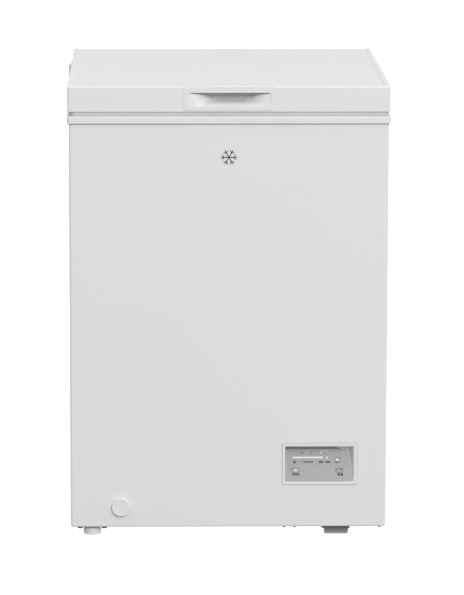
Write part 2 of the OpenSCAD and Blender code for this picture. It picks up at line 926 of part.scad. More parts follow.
module base_screws() {
    color(dark_plastic)
    for (p = [[body_w / 2 - 12, body_front + 7], [body_w / 2 - 12, body_back - 12],
              [-body_w / 2 + 7.5, body_back - 12], [compartment_x + 6.5, body_front + 7],
              [compartment_x + 26.5, body_front + 7]])
        translate([p[0], p[1], foot_h - 2.6]) cylinder(h = 2.5, r = 2.2);
}

module snowflake_emblem() {
    color([0.35, 0.37, 0.42])
    along_y(body_front - 0.5, body_front - 0.02)
        translate([0, 727])
            for (k = [0 : 2])
                rotate(60 * k) {
                    square([30, 1.8], center = true);
                    for (s = [0, 180])
                        rotate(s)
                            translate([9, 0])
                                for (side = [-1, 1])
                                    rotate(50 * side)
                                        translate([0, -0.7]) square([6, 1.4]);
                }
}

// ---------- back of the cabinet ----------

module rear_grille() {
    slots = 11;
    pitch = (grille_x1 - grille_x0 - 40) / (slots - 1);
    color(dark_plastic)
    difference() {
        union() {
            box([grille_x0, body_back + 0.1, grille_z0], [grille_x1, body_back + 3, grille_z1]);
            box([grille_x0 + 12, body_back + 0.1, grille_z0 + 12],
                [grille_x1 - 12, body_back + 9, grille_z1 - 12]);
        }
        box([grille_x0 + 14.5, body_back - 1, grille_z0 + 14.5],
            [grille_x1 - 14.5, body_back + 6.5, grille_z1 - 14.5]);
        for (k = [0 : slots - 1], row = [0, 1])
            box([grille_x0 + 17 + k * pitch, body_back - 1, grille_z0 + 58 + row * 76],
                [grille_x0 + 23 + k * pitch, body_back + 12, grille_z0 + 122 + row * 76]);
        for (x = [grille_x0 + 3, grille_x1 - 3], z = [grille_z0 + 12, grille_z1 - 12])
            rod_y(x, z, body_back - 5, body_back + 5, 1.6);
        rod_y(grille_x1 - 30, grille_z0 + 34, body_back, body_back + 12, 8.2);
    }
}

module cord_inlet() {
    color([0.15, 0.15, 0.16])
    difference() {
        union() {
            rod_y(grille_x1 - 30, grille_z0 + 34, body_back + 4, body_back + 18, 8);
            rod_y(grille_x1 - 30, grille_z0 + 34, body_back + 9.1, body_back + 12, 12);
        }
        rod_y(grille_x1 - 30, grille_z0 + 34, body_back, body_back + 30, 3.7);
    }
}

module rear_screws() {
    color(zinc) {
        for (x = [grille_x0 + 3, grille_x1 - 3], z = [grille_z0 + 12, grille_z1 - 12]) {
            rod_y(x, z, body_back + 3.1, body_back + 5, 2.9);
            rod_y(x, z, body_back - 1, body_back + 4, 1.5);
        }
        for (sx = [-1, 1], z = screw_z) {
            rod_y(sx * hinge_x, z, body_back + channel_t + 0.1, body_back + channel_t + 2.2, 5);
            rod_y(sx * hinge_x, z, body_back - 1, body_back + channel_t + 1, 2);
        }
    }
}

// ---------- hinges ----------

module hinge_base(sx) {
    rear = overall_d / 2;
    color(zinc)
    translate([sx * hinge_x, 0, 0])
        difference() {
            union() {
                box([-channel_half, body_back + 0.05, channel_z0],
                    [channel_half, body_back + channel_t, frame_z0 - 1]);
                box([-channel_half, body_back + 0.05, channel_z0],
                    [channel_half, rear, channel_z0 + channel_t]);
                for (s = [-1, 1])
                    along_x(s * (channel_half - channel_t / 2) - channel_t / 2,
                            s * (channel_half - channel_t / 2) + channel_t / 2) {
                        polygon([[body_back + 0.05, channel_z0], [rear, channel_z0],
                                 [rear, pivot_z - 8], [pivot_y + 8, pivot_z],
                                 [pivot_y - 8, pivot_z], [body_back + 5, frame_z0 - 1],
                                 [body_back + 0.05, frame_z0 - 1]]);
                        translate([pivot_y, pivot_z]) circle(8);
                    }
            }
            rod_x(pivot_y, pivot_z, -channel_half - 1, channel_half + 1, pin_r + running);
            for (z = screw_z)
                rod_y(0, z, body_back - 1, body_back + 5, 2.2);
        }
}

module hinge_base_left() {
    hinge_base(-1);
}

module hinge_base_right() {
    hinge_base(1);
}

module hinge_pins() {
    color(zinc)
    for (sx = [-1, 1])
        translate([sx * hinge_x, 0, 0]) {
            rod_x(pivot_y, pivot_z, -channel_half - 1.5, channel_half + 1.5, pin_r);
            for (s = [-1, 1])
                rod_x(pivot_y, pivot_z, s * (channel_half + 1.3) - 1, s * (channel_half + 1.3) + 1,
                      pin_r + 2);
        }
}

// Face cam under the lid arm: its reach below the pin falls evenly as the lid opens
function cam_reach(a) = cam_r - cam_lift * a * PI / 180;
function cam_point(a) = [
    cam_reach(a) * sin(a) - cam_lift * cos(a),
    -cam_reach(a) * cos(a) - cam_lift * sin(a)
];

module hinge_arm(sx) {
    y0 = lid_back + 0.1;
    color(zinc)
    translate([sx * hinge_x, 0, 0])
        difference() {
            union() {
                box([-30, y0, lid_z0 + 4], [30, y0 + 2, lid_z0 + 38]);
                for (s = [-1, 1])
                    along_x(s * (arm_cheek - arm_t / 2) - arm_t / 2,
                            s * (arm_cheek - arm_t / 2) + arm_t / 2)
                        arm_outline(y0);
                along_x(-cam_half, cam_half) {
                    arm_outline(y0);
                    translate([pivot_y, pivot_z])
                        polygon(concat([[-cam_lift, 0]],
                                       [for (a = [0 : 5 : 95]) cam_point(a)], [[7, 2]]));
                }
            }
            rod_x(pivot_y, pivot_z, -40, 40, bore_r);
            for (s = [-1, 1], z = [lid_z0 + 12, lid_z0 + 30])
                rod_y(s * 24, z, y0 - 1, y0 + 5, 2.2);
        }
}

module arm_outline(y0) {
    polygon([[y0, lid_z0 + 34], [y0 + 4.5, lid_z0 + 34], [pivot_y + 6.8, pivot_z + 3],
             [pivot_y, pivot_z - 7.4], [pivot_y - 7, pivot_z], [y0, lid_z0 + 4]]);
    translate([pivot_y, pivot_z]) circle(7.4);
}

module hinge_arm_left() {
    hinge_arm(-1);
}

module hinge_arm_right() {
    hinge_arm(1);
}

module hinge_arm_screws() {
    color(zinc)
    for (sx = [-1, 1], s = [-1, 1], z = [lid_z0 + 12, lid_z0 + 30]) {
        rod_y(sx * hinge_x + s * 24, z, lid_back + 2.2, lid_back + 4.2, 4.5);
        rod_y(sx * hinge_x + s * 24, z, lid_back + 0.1, lid_back + 3, 2);
    }
}

module hinge_plunger(sx) {
    color(dark_plastic)
    translate([sx * hinge_x, 0, 0]) {
        box([-13, pivot_y - 7.8, plunger_top - plunger_h], [13, pivot_y + 8.2, plunger_top]);
        translate([0, pivot_y, plunger_top - plunger_h - 12])
            cylinder(h = 13, r = spring_r - 2.9);
    }
}

module hinge_plunger_left() {
    hinge_plunger(-1);
}

module hinge_plunger_right() {
    hinge_plunger(1);
}

// Round-wire compression spring between the channel's floor and the plunger
module hinge_spring(sx) {
    wire = 1.1;
    sides = 6;
    per_turn = 12;
    z0 = channel_z0 + channel_t + 0.2;
    rise = plunger_top - plunger_h - 0.2 - z0 - 2 * wire;
    n = spring_turns * per_turn;
    mean = spring_r - wire;
    rings = [for (i = [0 : n], j = [0 : sides - 1])
        let (a = 360 * i / per_turn, b = 360 * j / sides)
        [(mean + wire * cos(b)) * cos(a), (mean + wire * cos(b)) * sin(a),
         wire + rise * i / n + wire * sin(b)]];
    walls = [for (i = [0 : n - 1], j = [0 : sides - 1])
        let (k = (j + 1) % sides, p = i * sides, q = p + sides)
        each [[p + j, p + k, q + k], [p + j, q + k, q + j]]];
    ends = [for (j = [1 : sides - 2])
        each [[0, j + 1, j], [n * sides, n * sides + j, n * sides + j + 1]]];
    color(zinc)
    translate([sx * hinge_x, pivot_y, z0])
        polyhedron(points = rings, faces = [for (f = concat(walls, ends)) [f[2], f[1], f[0]]]);
}

module hinge_spring_left() {
    hinge_spring(-1);
}

module hinge_spring_right() {
    hinge_spring(1);
}

// Plastic cover beside each hinge that wraps round the rear corner and ends in a rounded ear
module hinge_cover() {
    inner_x = hinge_x + channel_half + 3;
    ear_x0 = frame_w / 2 + 0.7;
    ear_t = 9;
    ear_top = frame_z1 + 25;
    z0 = frame_z0 - 26;
    rear = overall_d / 2;
    color(grey_plastic) {
        difference() {
            box([inner_x, body_back + 0.1, z0], [ear_x0 + ear_t, rear, frame_z0 - 1]);
            box([inner_x + 2.5, body_back - 1, z0 + 2.5],
                [ear_x0 - 1, rear - 2.5, frame_z0 - 3.5]);
        }
        along_y(body_back - 20, rear) {
            translate([ear_x0, z0]) square([ear_t, ear_top - ear_t / 2 - z0]);
            translate([ear_x0 + ear_t / 2, ear_top - ear_t / 2]) circle(ear_t / 2);
        }
    }
}

module hinge_cover_left() {
    mirror([1, 0, 0]) hinge_cover();
}

module hinge_cover_right() {
    hinge_cover();
}

// ---------- lid ----------

// Folded sheet seen from the side: front skirt, fold, top, fold, back skirt
module lid_section(t0) {
    y0 = lid_front + t0;
    y1 = lid_back - t0;
    z1 = lid_top - t0;
    r = fold_r - t0;
    translate([y0, lid_z0 + t0]) square([y1 - y0, z1 - r - lid_z0 - t0]);
    translate([y0 + r, lid_z0 + t0]) square([y1 - y0 - 2 * r, z1 - lid_z0 - t0]);
    for (y = [y0 + r, y1 - r])
        translate([y, z1 - r]) circle(r);
}

module lid_panel() {
    color(white_paint)
    difference() {
        along_x(-lid_w / 2, lid_w / 2) lid_section(0);
        along_x(-lid_w, lid_w)
            difference() {
                lid_section(sheet);
                translate([lid_front, lid_z0 + sheet - 1]) square([9, 1]);
            }
        along_x(-lid_w, lid_w)
            translate([lid_front + 9, lid_z0 - 1])
                square([lid_back - lid_front - 9 - sheet, 10]);
        for (sx = [-1, 1])
            translate([sx * lid_w / 2, 0, 0])
                box([-cap_wall - slip, lid_front + sheet, lid_z0 - 1],
                    [cap_wall + slip, lid_back + 1, total_h + 1]);
        box([-handle_w / 2 - slip, lid_front - 1, handle_z0 - slip],
            [handle_w / 2 + slip, lid_front + 7, total_h]);
    }
}

module lid_cap() {
    x1 = lid_w / 2;
    y0 = lid_front + sheet + slip;
    color(white_plastic) {
        box([x1 - cap_wall, y0, lid_z0], [x1, lid_back, total_h - 1]);
        box([x1 - strip_w, lid_front + 8, lid_top + 0.1], [x1, lid_back, total_h]);
        box([x1 - flange, y0 + 9, lid_z0], [x1, lid_back - sheet - slip, lid_z0 + cap_wall]);
    }
}

module lid_cap_left() {
    mirror([1, 0, 0]) lid_cap();
}

module lid_cap_right() {
    lid_cap();
}

module lid_liner() {
    edge = flange + slip;
    color(white_plastic)
    difference() {
        union() {
            translate([0, 0, lid_z0])
                linear_extrude(lid_liner_t)
                    plan(lid_w - 2 * edge, lid_front + edge, lid_back - sheet - slip, 3);
            translate([0, 0, plug_z])
                linear_extrude(lid_z0 - plug_z + 0.5)
                    plan(plug_w, plug_y0, plug_y1, plug_r);
        }
        translate([0, 0, plug_z + lid_liner_t])
            linear_extrude(40)
                plan(plug_w - 2 * lid_liner_t, plug_y0 + lid_liner_t, plug_y1 - lid_liner_t,
                     plug_r - lid_liner_t);
    }
}

module lid_foam() {
    top = lid_top - sheet - slip;
    low = lid_z0 + cap_wall + slip;
    color(foam_colour)
    difference() {
        union() {
            box([-lid_w / 2 + cap_wall + 2 * slip, lid_front + sheet + 3, low],
                [lid_w / 2 - cap_wall - 2 * slip, lid_back - sheet - 3, top]);
            translate([0, 0, plug_z + lid_liner_t + slip])
                linear_extrude(low - plug_z)
                    plan(plug_w - 2 * lid_liner_t - 2 * slip, plug_y0 + lid_liner_t + slip,
                         plug_y1 - lid_liner_t - slip, plug_r - lid_liner_t - slip);
        }
        box([-handle_w / 2 - slip, lid_front - 1, lid_z0],
            [handle_w / 2 + slip, lid_front + pocket_d + 3, total_h]);
    }
}

module lid_gasket() {
    w = lid_w - 2 * gasket_side;
    y0 = lid_front + gasket_front;
    y1 = lid_back - gasket_inset;
    color(rubber_grey) {
        plan_ring(frame_z1 + fit, frame_z1 + 3.6, w, y0, y1, 8, 12);
        plan_ring(frame_z1 + 3, lid_z0 - 0.1, w - 4, y0 + 2, y1 - 2, 6, 7);
    }
}

module lid_handle() {
    back = lid_front + pocket_d + 2.5;
    color(white_plastic)
    difference() {
        union() {
            along_y(lid_front - bezel_proud, lid_front + 3)
                translate([0, (handle_z0 + handle_z1) / 2])
                    pill(handle_w, handle_z1 - handle_z0, 3);
            box([-handle_w / 2, lid_front, handle_z1 - 12],
                [handle_w / 2, lid_front + 6.5, handle_z1]);
            box([pocket_x0 - 4, lid_front + 1, pocket_z0 - 2.5],
                [pocket_x1 + 4, back, pocket_z1 + 2.5]);
        }
        intersection() {
            along_y(lid_front - 2, lid_front + pocket_d)
                translate([(pocket_x0 + pocket_x1) / 2, (pocket_z0 + pocket_z1) / 2])
                    pill(pocket_x1 - pocket_x0, pocket_z1 - pocket_z0, 9);
            along_x(pocket_x0 - 1, pocket_x1 + 1)
                polygon([[lid_front - 3, pocket_z0], [lid_front + 1, pocket_z0],
                         [lid_front + pocket_d, pocket_back_z0],
                         [lid_front + pocket_d, pocket_z1], [lid_front - 3, pocket_z1]]);
            translate([0, 0, pocket_z0 - 1])
                linear_extrude(pocket_z1 - pocket_z0 + 2)
                    polygon([[pocket_x0, lid_front - 3], [pocket_x1, lid_front - 3],
                             [pocket_x1, lid_front], [pocket_back_x, lid_front + pocket_d],
                             [-pocket_back_x, lid_front + pocket_d], [pocket_x0, lid_front]]);
        }
    }
}

// ---------- basket ----------

// Ring of square wire with rounded corners, centred on height z
module wire_ring(x0, x1, y0, y1, z, wire) {
    h = wire / 2;
    translate([(x0 + x1) / 2, 0, 0])
        plan_ring(z - h, z + h, x1 - x0 + wire, y0 - h, y1 + h, basket_corner + h, wire);
}

module basket() {
    rim = 5;
    wire = 3;
    x0 = well_w / 2 - basket_w - 6;
    x1 = well_w / 2 - 6;
    y0 = well_y0 + 6;
    y1 = well_y1 - 6;
    hang = ledge_z + rim / 2 + 0.1;
    low = hang - basket_h;
    across = 7;
    along = 15;
    h = wire / 2;
    color([0.88, 0.88, 0.88]) {
        wire_ring(x0, x1, y0, y1, hang, rim);
        wire_ring(x0, x1, y0, y1, hang - basket_h / 2, wire);
        // U wires across the width
        for (k = [0 : along - 1]) {
            y = y0 + 20 + k * (y1 - y0 - 40) / (along - 1);
            difference() {
                box([x0 - h + 0.6, y - h, low - h], [x1 + h - 0.6, y + h, hang - 1]);
                box([x0 + h + 0.6, y - wire, low + h], [x1 - h - 0.6, y + wire, hang]);
            }
        }
        // U wires along the length
        for (k = [0 : across - 1]) {
            x = x0 + 20 + k * (x1 - x0 - 40) / (across - 1);
            difference() {
                box([x - h, y0 - h + 0.6, low], [x + h, y1 + h - 0.6, hang - 1]);
                box([x - wire, y0 + h + 0.6, low + wire], [x + wire, y1 - h - 0.6, hang]);
            }
        }
        // hooks that ride on the frame's ledge
        for (x = [x0 + 40, x1 - 40], y = [y0 - 16, y1])
            box([x - rim / 2, y, hang - rim / 2], [x + rim / 2, y + 16, hang + rim / 2]);
    }
}

outer_shell();
back_panel();
base_pan();
inner_liner();
insulation_foam();
top_frame();
compartment_wall();
compressor_base();
compressor();
compressor_grommets();
compressor_bolts();
terminal_cover();
start_relay();
suction_tube();
discharge_tube();
process_tube();
filter_drier();
capillary_tube();
condenser_coil();
evaporator_coil();
temperature_probe();
control_housing();
control_fascia();
control_board();
indicator_windows();
wiring_loom();
drain_tube();
rear_grille();
cord_inlet();
rear_screws();
hinge_base_left();
hinge_base_right();
hinge_pins();
hinge_cover_left();
hinge_cover_right();
foot_brackets();
right_feet();
base_screws();
snowflake_emblem();
lid_panel();
lid_cap_left();
lid_cap_right();
lid_liner();
lid_foam();
lid_gasket();
lid_handle();
hinge_arm_left();
hinge_arm_right();
hinge_arm_screws();
hinge_plunger_left();
hinge_plunger_right();
hinge_spring_left();
hinge_spring_right();
basket();
drain_cap();
drain_plug();
set_button();
fast_freeze_button();
foot_front_left();
foot_rear_left();
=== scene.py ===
import json
import math

import bmesh
import bpy
from mathutils import Matrix, Vector


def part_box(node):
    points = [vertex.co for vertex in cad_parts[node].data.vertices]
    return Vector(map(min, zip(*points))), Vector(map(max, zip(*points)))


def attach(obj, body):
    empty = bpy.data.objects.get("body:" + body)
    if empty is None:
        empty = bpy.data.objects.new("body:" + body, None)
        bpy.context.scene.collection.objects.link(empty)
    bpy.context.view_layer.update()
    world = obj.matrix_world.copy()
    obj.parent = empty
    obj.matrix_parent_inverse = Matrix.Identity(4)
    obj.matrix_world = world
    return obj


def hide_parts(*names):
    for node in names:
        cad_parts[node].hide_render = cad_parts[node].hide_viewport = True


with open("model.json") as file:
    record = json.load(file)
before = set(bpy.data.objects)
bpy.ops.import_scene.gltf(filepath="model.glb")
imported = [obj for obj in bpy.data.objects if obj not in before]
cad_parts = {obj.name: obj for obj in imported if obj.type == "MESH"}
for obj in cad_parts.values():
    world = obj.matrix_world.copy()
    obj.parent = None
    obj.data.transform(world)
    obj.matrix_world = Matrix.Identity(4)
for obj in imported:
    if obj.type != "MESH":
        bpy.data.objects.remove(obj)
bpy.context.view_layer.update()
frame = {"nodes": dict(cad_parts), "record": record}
NODES = frame["nodes"]
SLOT_OF = {p["node"]: p["material_slot"] for p in frame["record"]["subparts"]}
BODY_OF = {n: b for b, ns in frame["record"]["behaviour"]["bodies"].items() for n in ns}
cos, sin, pi = math.cos, math.sin, math.pi

SHEET = 0.9  # thickness of the steel and moulded skins, mm
MERGE_M, SLIVER_M, CAD_MERGE_M = 0.000004, 0.000003, 0.000002  # mesh clean-up distances, metres
FLAT_DEG, EDGE_DEG, CAD_SHARP_DEG = 0.4, 30, 35  # flat faces, edges to round, edges kept sharp on CAD meshes


# ---------- places, in millimetres ----------

def mm(node):
    """Lowest and highest corner of a CAD node in millimetres."""
    lo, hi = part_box(node)
    return [c * 1000 for c in lo], [c * 1000 for c in hi]


SHELL = mm("outer_shell")
FRAME = mm("top_frame")
LID = mm("lid_panel")
CAP = mm("lid_cap_right")
HANDLE = mm("lid_handle")
HOUSING = mm("control_housing")
LINER = mm("inner_liner")
PLUG = mm("lid_liner")
GASKET = mm("lid_gasket")
BASKET = mm("basket")
GRILLE = mm("rear_grille")
BODY_FRONT, LID_FRONT, LID_BACK = SHELL[0][1], LID[0][1], LID[1][1]
LID_Z0, LID_TOP = LID[0][2], LID[1][2]
HALF, LID_HALF = SHELL[1][0], LID[1][0]


# ---------- materials ----------

CELL_RELIEF = {
    "stucco": {"Scale": 260.0, "feature": "SMOOTH_F1", "Smoothness": 0.8},
    "cells": {"Scale": 420.0, "feature": "F1"},
}


def node(tree, kind, **values):
    """A shader node whose inputs, or else whose settings, take the given values."""
    made = tree.nodes.new("ShaderNode" + kind)
    for key, value in values.items():
        if key in made.inputs.keys():
            made.inputs[key].default_value = value
        else:
            setattr(made, key, value)
    return made


def noise(tree, coords, scale, detail=3.0, rough=0.5):
    made = node(tree, "TexNoise", Scale=scale, Detail=detail, Roughness=rough)
    tree.links.new(coords, made.inputs["Vector"])
    return made.outputs["Fac"]


def material(name, colour, rough, metallic=0.0, vary=0.03, patch=9.0, grain=(900.0, 0.12, 0.00002),
             rough_vary=0.06, smudge=60.0, coat=0.0, spec=0.5, pattern=None, dirt=None):
    """Procedural surface: drifting colour, uneven gloss and a fine relief, all in object space.

    grain: scale, strength and height of the relief. dirt: scale, amount and colour of spots.
    """
    made = bpy.data.materials.new(name)
    made.use_nodes = True
    tree = made.node_tree
    bsdf = tree.nodes["Principled BSDF"]
    coords = node(tree, "TexCoord").outputs["Object"]
    low = [c * (1 - vary) for c in colour]
    high = [min(1.0, c * (1 + vary)) for c in colour]
    ramp = node(tree, "ValToRGB")
    ramp.color_ramp.elements[0].position = 0.3
    ramp.color_ramp.elements[0].color = (*low, 1)
    ramp.color_ramp.elements[1].position = 0.7
    ramp.color_ramp.elements[1].color = (*high, 1)
    tree.links.new(noise(tree, coords, patch, 4.0), ramp.inputs["Fac"])
    colour_out = ramp.outputs["Color"]
    if dirt:
        scale, amount, tint = dirt
        spots = node(tree, "MapRange", **{"From Min": 0.58, "From Max": 0.75, "To Max": amount})
        tree.links.new(noise(tree, coords, scale, 6.0, 0.6), spots.inputs["Value"])
        mix = node(tree, "Mix", data_type="RGBA")
        tree.links.new(spots.outputs["Result"], mix.inputs[0])
        tree.links.new(colour_out, mix.inputs[6])
        mix.inputs[7].default_value = (*tint, 1)
        colour_out = mix.outputs[2]
    relief = noise(tree, coords, grain[0], 2.0)
    if pattern == "spangle":
        cells = node(tree, "TexVoronoi", Scale=110.0, feature="F1")
        tree.links.new(coords, cells.inputs["Vector"])
        shade = node(tree, "HueSaturation", Saturation=0.0)
        tree.links.new(cells.outputs["Color"], shade.inputs["Color"])
        mix = node(tree, "Mix", data_type="RGBA", blend_type="OVERLAY")
        mix.inputs[0].default_value = 0.25
        tree.links.new(colour_out, mix.inputs[6])
        tree.links.new(shade.outputs["Color"], mix.inputs[7])
        colour_out = mix.outputs[2]
    if pattern in CELL_RELIEF:
        cells = node(tree, "TexVoronoi", **CELL_RELIEF[pattern])
        tree.links.new(coords, cells.inputs["Vector"])
        relief = cells.outputs["Distance"]
    if pattern == "brushed":
        stretch = node(tree, "Mapping", Scale=(6.0, 1.0, 60.0))
        tree.links.new(coords, stretch.inputs["Vector"])
        relief = noise(tree, stretch.outputs["Vector"], 60.0, 3.0)
    if pattern == "circuit":
        tracks = node(tree, "TexBrick", Scale=140.0, Color1=(*low, 1), Color2=(*high, 1),
                      Mortar=(0.25, 0.32, 0.12, 1))
        tree.links.new(coords, tracks.inputs["Vector"])
        colour_out = tracks.outputs["Color"]
    tree.links.new(colour_out, bsdf.inputs["Base Color"])
    gloss = node(tree, "MapRange", **{"From Min": 0.3, "From Max": 0.7,
                                      "To Min": max(0.02, rough - rough_vary),
                                      "To Max": min(1.0, rough + rough_vary)})
    tree.links.new(noise(tree, coords, smudge, 5.0, 0.6), gloss.inputs["Value"])
    tree.links.new(gloss.outputs["Result"], bsdf.inputs["Roughness"])
    bump = node(tree, "Bump", Strength=grain[1], Distance=grain[2])
    tree.links.new(relief, bump.inputs["Height"])
    tree.links.new(bump.outputs["Normal"], bsdf.inputs["Normal"])
    bsdf.inputs["Metallic"].default_value = metallic
    bsdf.inputs["Specular IOR Level"].default_value = spec
    bsdf.inputs["Coat Weight"].default_value = coat
    bsdf.inputs["Coat Roughness"].default_value = 0.1
    made.diffuse_color = (*colour, 1)
    return made


PRINT_GRAIN = (4000.0, 0.1, 0.00001)
MATS = {
    "white_paint": material("white_paint", (0.80, 0.80, 0.80), 0.36, vary=0.006, patch=2.5,
                            grain=(420.0, 0.10, 0.00006), rough_vary=0.03, smudge=8.0, spec=0.4),
    "liner_paint": material("liner_paint", (0.80, 0.81, 0.82), 0.38, vary=0.012, patch=4.0,
                            grain=(0, 0.35, 0.00025), pattern="stucco"),
    "white_plastic": material("white_plastic", (0.80, 0.80, 0.80), 0.42, vary=0.008, patch=6.0,
                              grain=(2600.0, 0.15, 0.00003), rough_vary=0.04, spec=0.4),
    "handle_plastic": material("handle_plastic", (0.80, 0.80, 0.80), 0.40, vary=0.008, patch=14.0,
                               grain=(3000.0, 0.12, 0.00002), rough_vary=0.04, spec=0.4),
    "grey_plastic": material("grey_plastic", (0.80, 0.80, 0.805), 0.5, vary=0.03, patch=20.0,
                             grain=(2200.0, 0.25, 0.00005)),
    "fascia_grey": material("fascia_grey", (0.315, 0.315, 0.32), 0.34, vary=0.015, patch=30.0,
                            grain=(3600.0, 0.12, 0.00002), rough_vary=0.04),
    "dark_plastic": material("dark_plastic", (0.035, 0.035, 0.038), 0.5, vary=0.12, patch=16.0,
                             grain=(1800.0, 0.3, 0.00006), dirt=(40.0, 0.25, (0.09, 0.085, 0.08))),
    "zinc": material("zinc", (0.60, 0.61, 0.63), 0.36, metallic=0.9, vary=0.05, patch=14.0,
                     grain=(700.0, 0.12, 0.00004), rough_vary=0.09, pattern="spangle"),
    "black_enamel": material("black_enamel", (0.012, 0.012, 0.013), 0.22, vary=0.1, coat=0.4,
                             grain=(300.0, 0.25, 0.0002), dirt=(30.0, 0.3, (0.05, 0.045, 0.04))),
    "copper": material("copper", (0.74, 0.36, 0.22), 0.3, metallic=1.0, vary=0.08, patch=40.0,
                       grain=(1200.0, 0.15, 0.00004), rough_vary=0.1,
                       dirt=(50.0, 0.5, (0.30, 0.14, 0.08))),
    "aluminium": material("aluminium", (0.76, 0.76, 0.77), 0.32, metallic=1.0, vary=0.03,
                          grain=(0, 0.2, 0.00005), pattern="brushed"),
    "foam": material("foam", (0.80, 0.66, 0.38), 0.9, vary=0.08, patch=30.0,
                     grain=(0, 0.6, 0.0006), pattern="cells", spec=0.2),
    "gasket_rubber": material("gasket_rubber", (0.74, 0.74, 0.745), 0.62, vary=0.03, patch=12.0,
                              grain=(1500.0, 0.3, 0.00008)),
    "dark_rubber": material("dark_rubber", (0.10, 0.10, 0.105), 0.62, vary=0.08, patch=30.0,
                            grain=(1400.0, 0.35, 0.0001), dirt=(70.0, 0.3, (0.16, 0.155, 0.15))),
    "light_rubber": material("light_rubber", (0.84, 0.84, 0.845), 0.55, vary=0.03, patch=20.0,
                             grain=(1500.0, 0.25, 0.00006)),
    "circuit_board": material("circuit_board", (0.03, 0.15, 0.06), 0.35, vary=0.2,
                              grain=(500.0, 0.2, 0.00005), pattern="circuit"),
    "lens": material("lens", (0.88, 0.88, 0.88), 0.12, vary=0.01, grain=(900.0, 0.05, 0.00002), coat=0.5,
                     rough_vary=0.03),
    "coated_wire": material("coated_wire", (0.78, 0.78, 0.78), 0.28, vary=0.02, coat=0.3,
                            grain=(260.0, 0.3, 0.0002)),
    "emblem": material("emblem", (0.05, 0.055, 0.065), 0.35, metallic=0.4, vary=0.1, patch=60.0,
                       grain=(2400.0, 0.2, 0.00003)),
    # grey of the band painted as shade in the control panel's recess
    "recess_shade_grey": material("recess_shade_grey", (0.30, 0.30, 0.302), 0.5, vary=0.04, patch=30.0,
                           grain=(3000.0, 0.1, 0.00002)),
    # dark grey of the strip painted as shade in the gap under the frame
    "gap_shade_grey": material("gap_shade_grey", (0.22, 0.22, 0.222), 0.7, vary=0.04, patch=30.0,
                          grain=(1600.0, 0.3, 0.00008)),
    "foot_grey": material("foot_grey", (0.34, 0.34, 0.342), 0.58, vary=0.04, patch=30.0,
                          grain=(1600.0, 0.3, 0.00008), dirt=(70.0, 0.2, (0.20, 0.195, 0.19))),
    # grey of the plate painted as shade on the handle pocket's back wall
    "pocket_shade_grey": material("pocket_shade_grey", (0.46, 0.46, 0.463), 0.5, vary=0.02, patch=20.0,
                            grain=(2600.0, 0.12, 0.00002)),
    "print_olive": material("print_olive", (0.10, 0.105, 0.045), 0.6, vary=0.05, grain=PRINT_GRAIN),
    "print_dark": material("print_dark", (0.035, 0.04, 0.035), 0.6, vary=0.05, grain=PRINT_GRAIN),
    # white of the set key's printed icon, and of the highlights painted on the fascia
    "print_and_highlight_white": material("print_and_highlight_white", (0.66, 0.66, 0.66), 0.5, vary=0.01, grain=PRINT_GRAIN),
    "print_green": material("print_green", (0.05, 0.17, 0.08), 0.5, vary=0.05, grain=PRINT_GRAIN),
}


# ---------- mesh tools ----------

def arc(cx, cy, r, a0, a1, n):
    """Points of an arc in degrees, both ends included."""
    return [(cx + r * cos(math.radians(a0 + (a1 - a0) * i / n)),
             cy + r * sin(math.radians(a0 + (a1 - a0) * i / n))) for i in range(n + 1)]


def split(a, b, n):
    """n points spread evenly between two points, ends left out."""
    return [tuple(p + (q - p) * i / (n + 1) for p, q in zip(a, b)) for i in range(1, n + 1)]


def boat(x0, x1, y0, y1, low, high, n=8, side=24):
    """Closed rectangle with one radius for its lower corners and one for its upper corners.

    It runs anticlockwise from the lower left corner; side is the number of points between two corners.
    """
    arcs = [arc(x0 + low, y0 + low, low, 180, 270, n), arc(x1 - low, y0 + low, low, 270, 360, n),
            arc(x1 - high, y1 - high, high, 0, 90, n), arc(x0 + high, y1 - high, high, 90, 180, n)]
    points = []
    for k in range(4):
        points += arcs[k] + split(arcs[k][-1], arcs[(k + 1) % 4][0], side)
    return points


def rrect(x0, x1, y0, y1, r, n=8, side=0):
    """Closed rounded rectangle, anticlockwise from the lower left corner."""
    r = max(r, 0.02)
    return boat(x0, x1, y0, y1, r, r, n, side)


def u_path(x0, x1, y0, y_end, r, n=8):
    """Open U in plan: left side, rounded front corners, right side."""
    r = max(r, 0.05)
    return ([(x0, y_end)] + arc(x0 + r, y0 + r, r, 180, 270, n)
            + arc(x1 - r, y0 + r, r, 270, 360, n) + [(x1, y_end)])


def flat(points, z):
    """Plan points at a height."""
    return [(x, y, z) for x, y in points]


def upright(points, y):
    """Front-view points at a depth."""
    return [(x, y, z) for x, z in points]


def plan_ring(half, y0, y1, r, z):
    """Rounded rectangle at a height, as wide to the left as to the right."""
    return flat(rrect(-half, half, y0, y1, r), z)


def linked(name, data):
    """A new object in the scene."""
    obj = bpy.data.objects.new(name, data)
    bpy.context.scene.collection.objects.link(obj)
    return obj


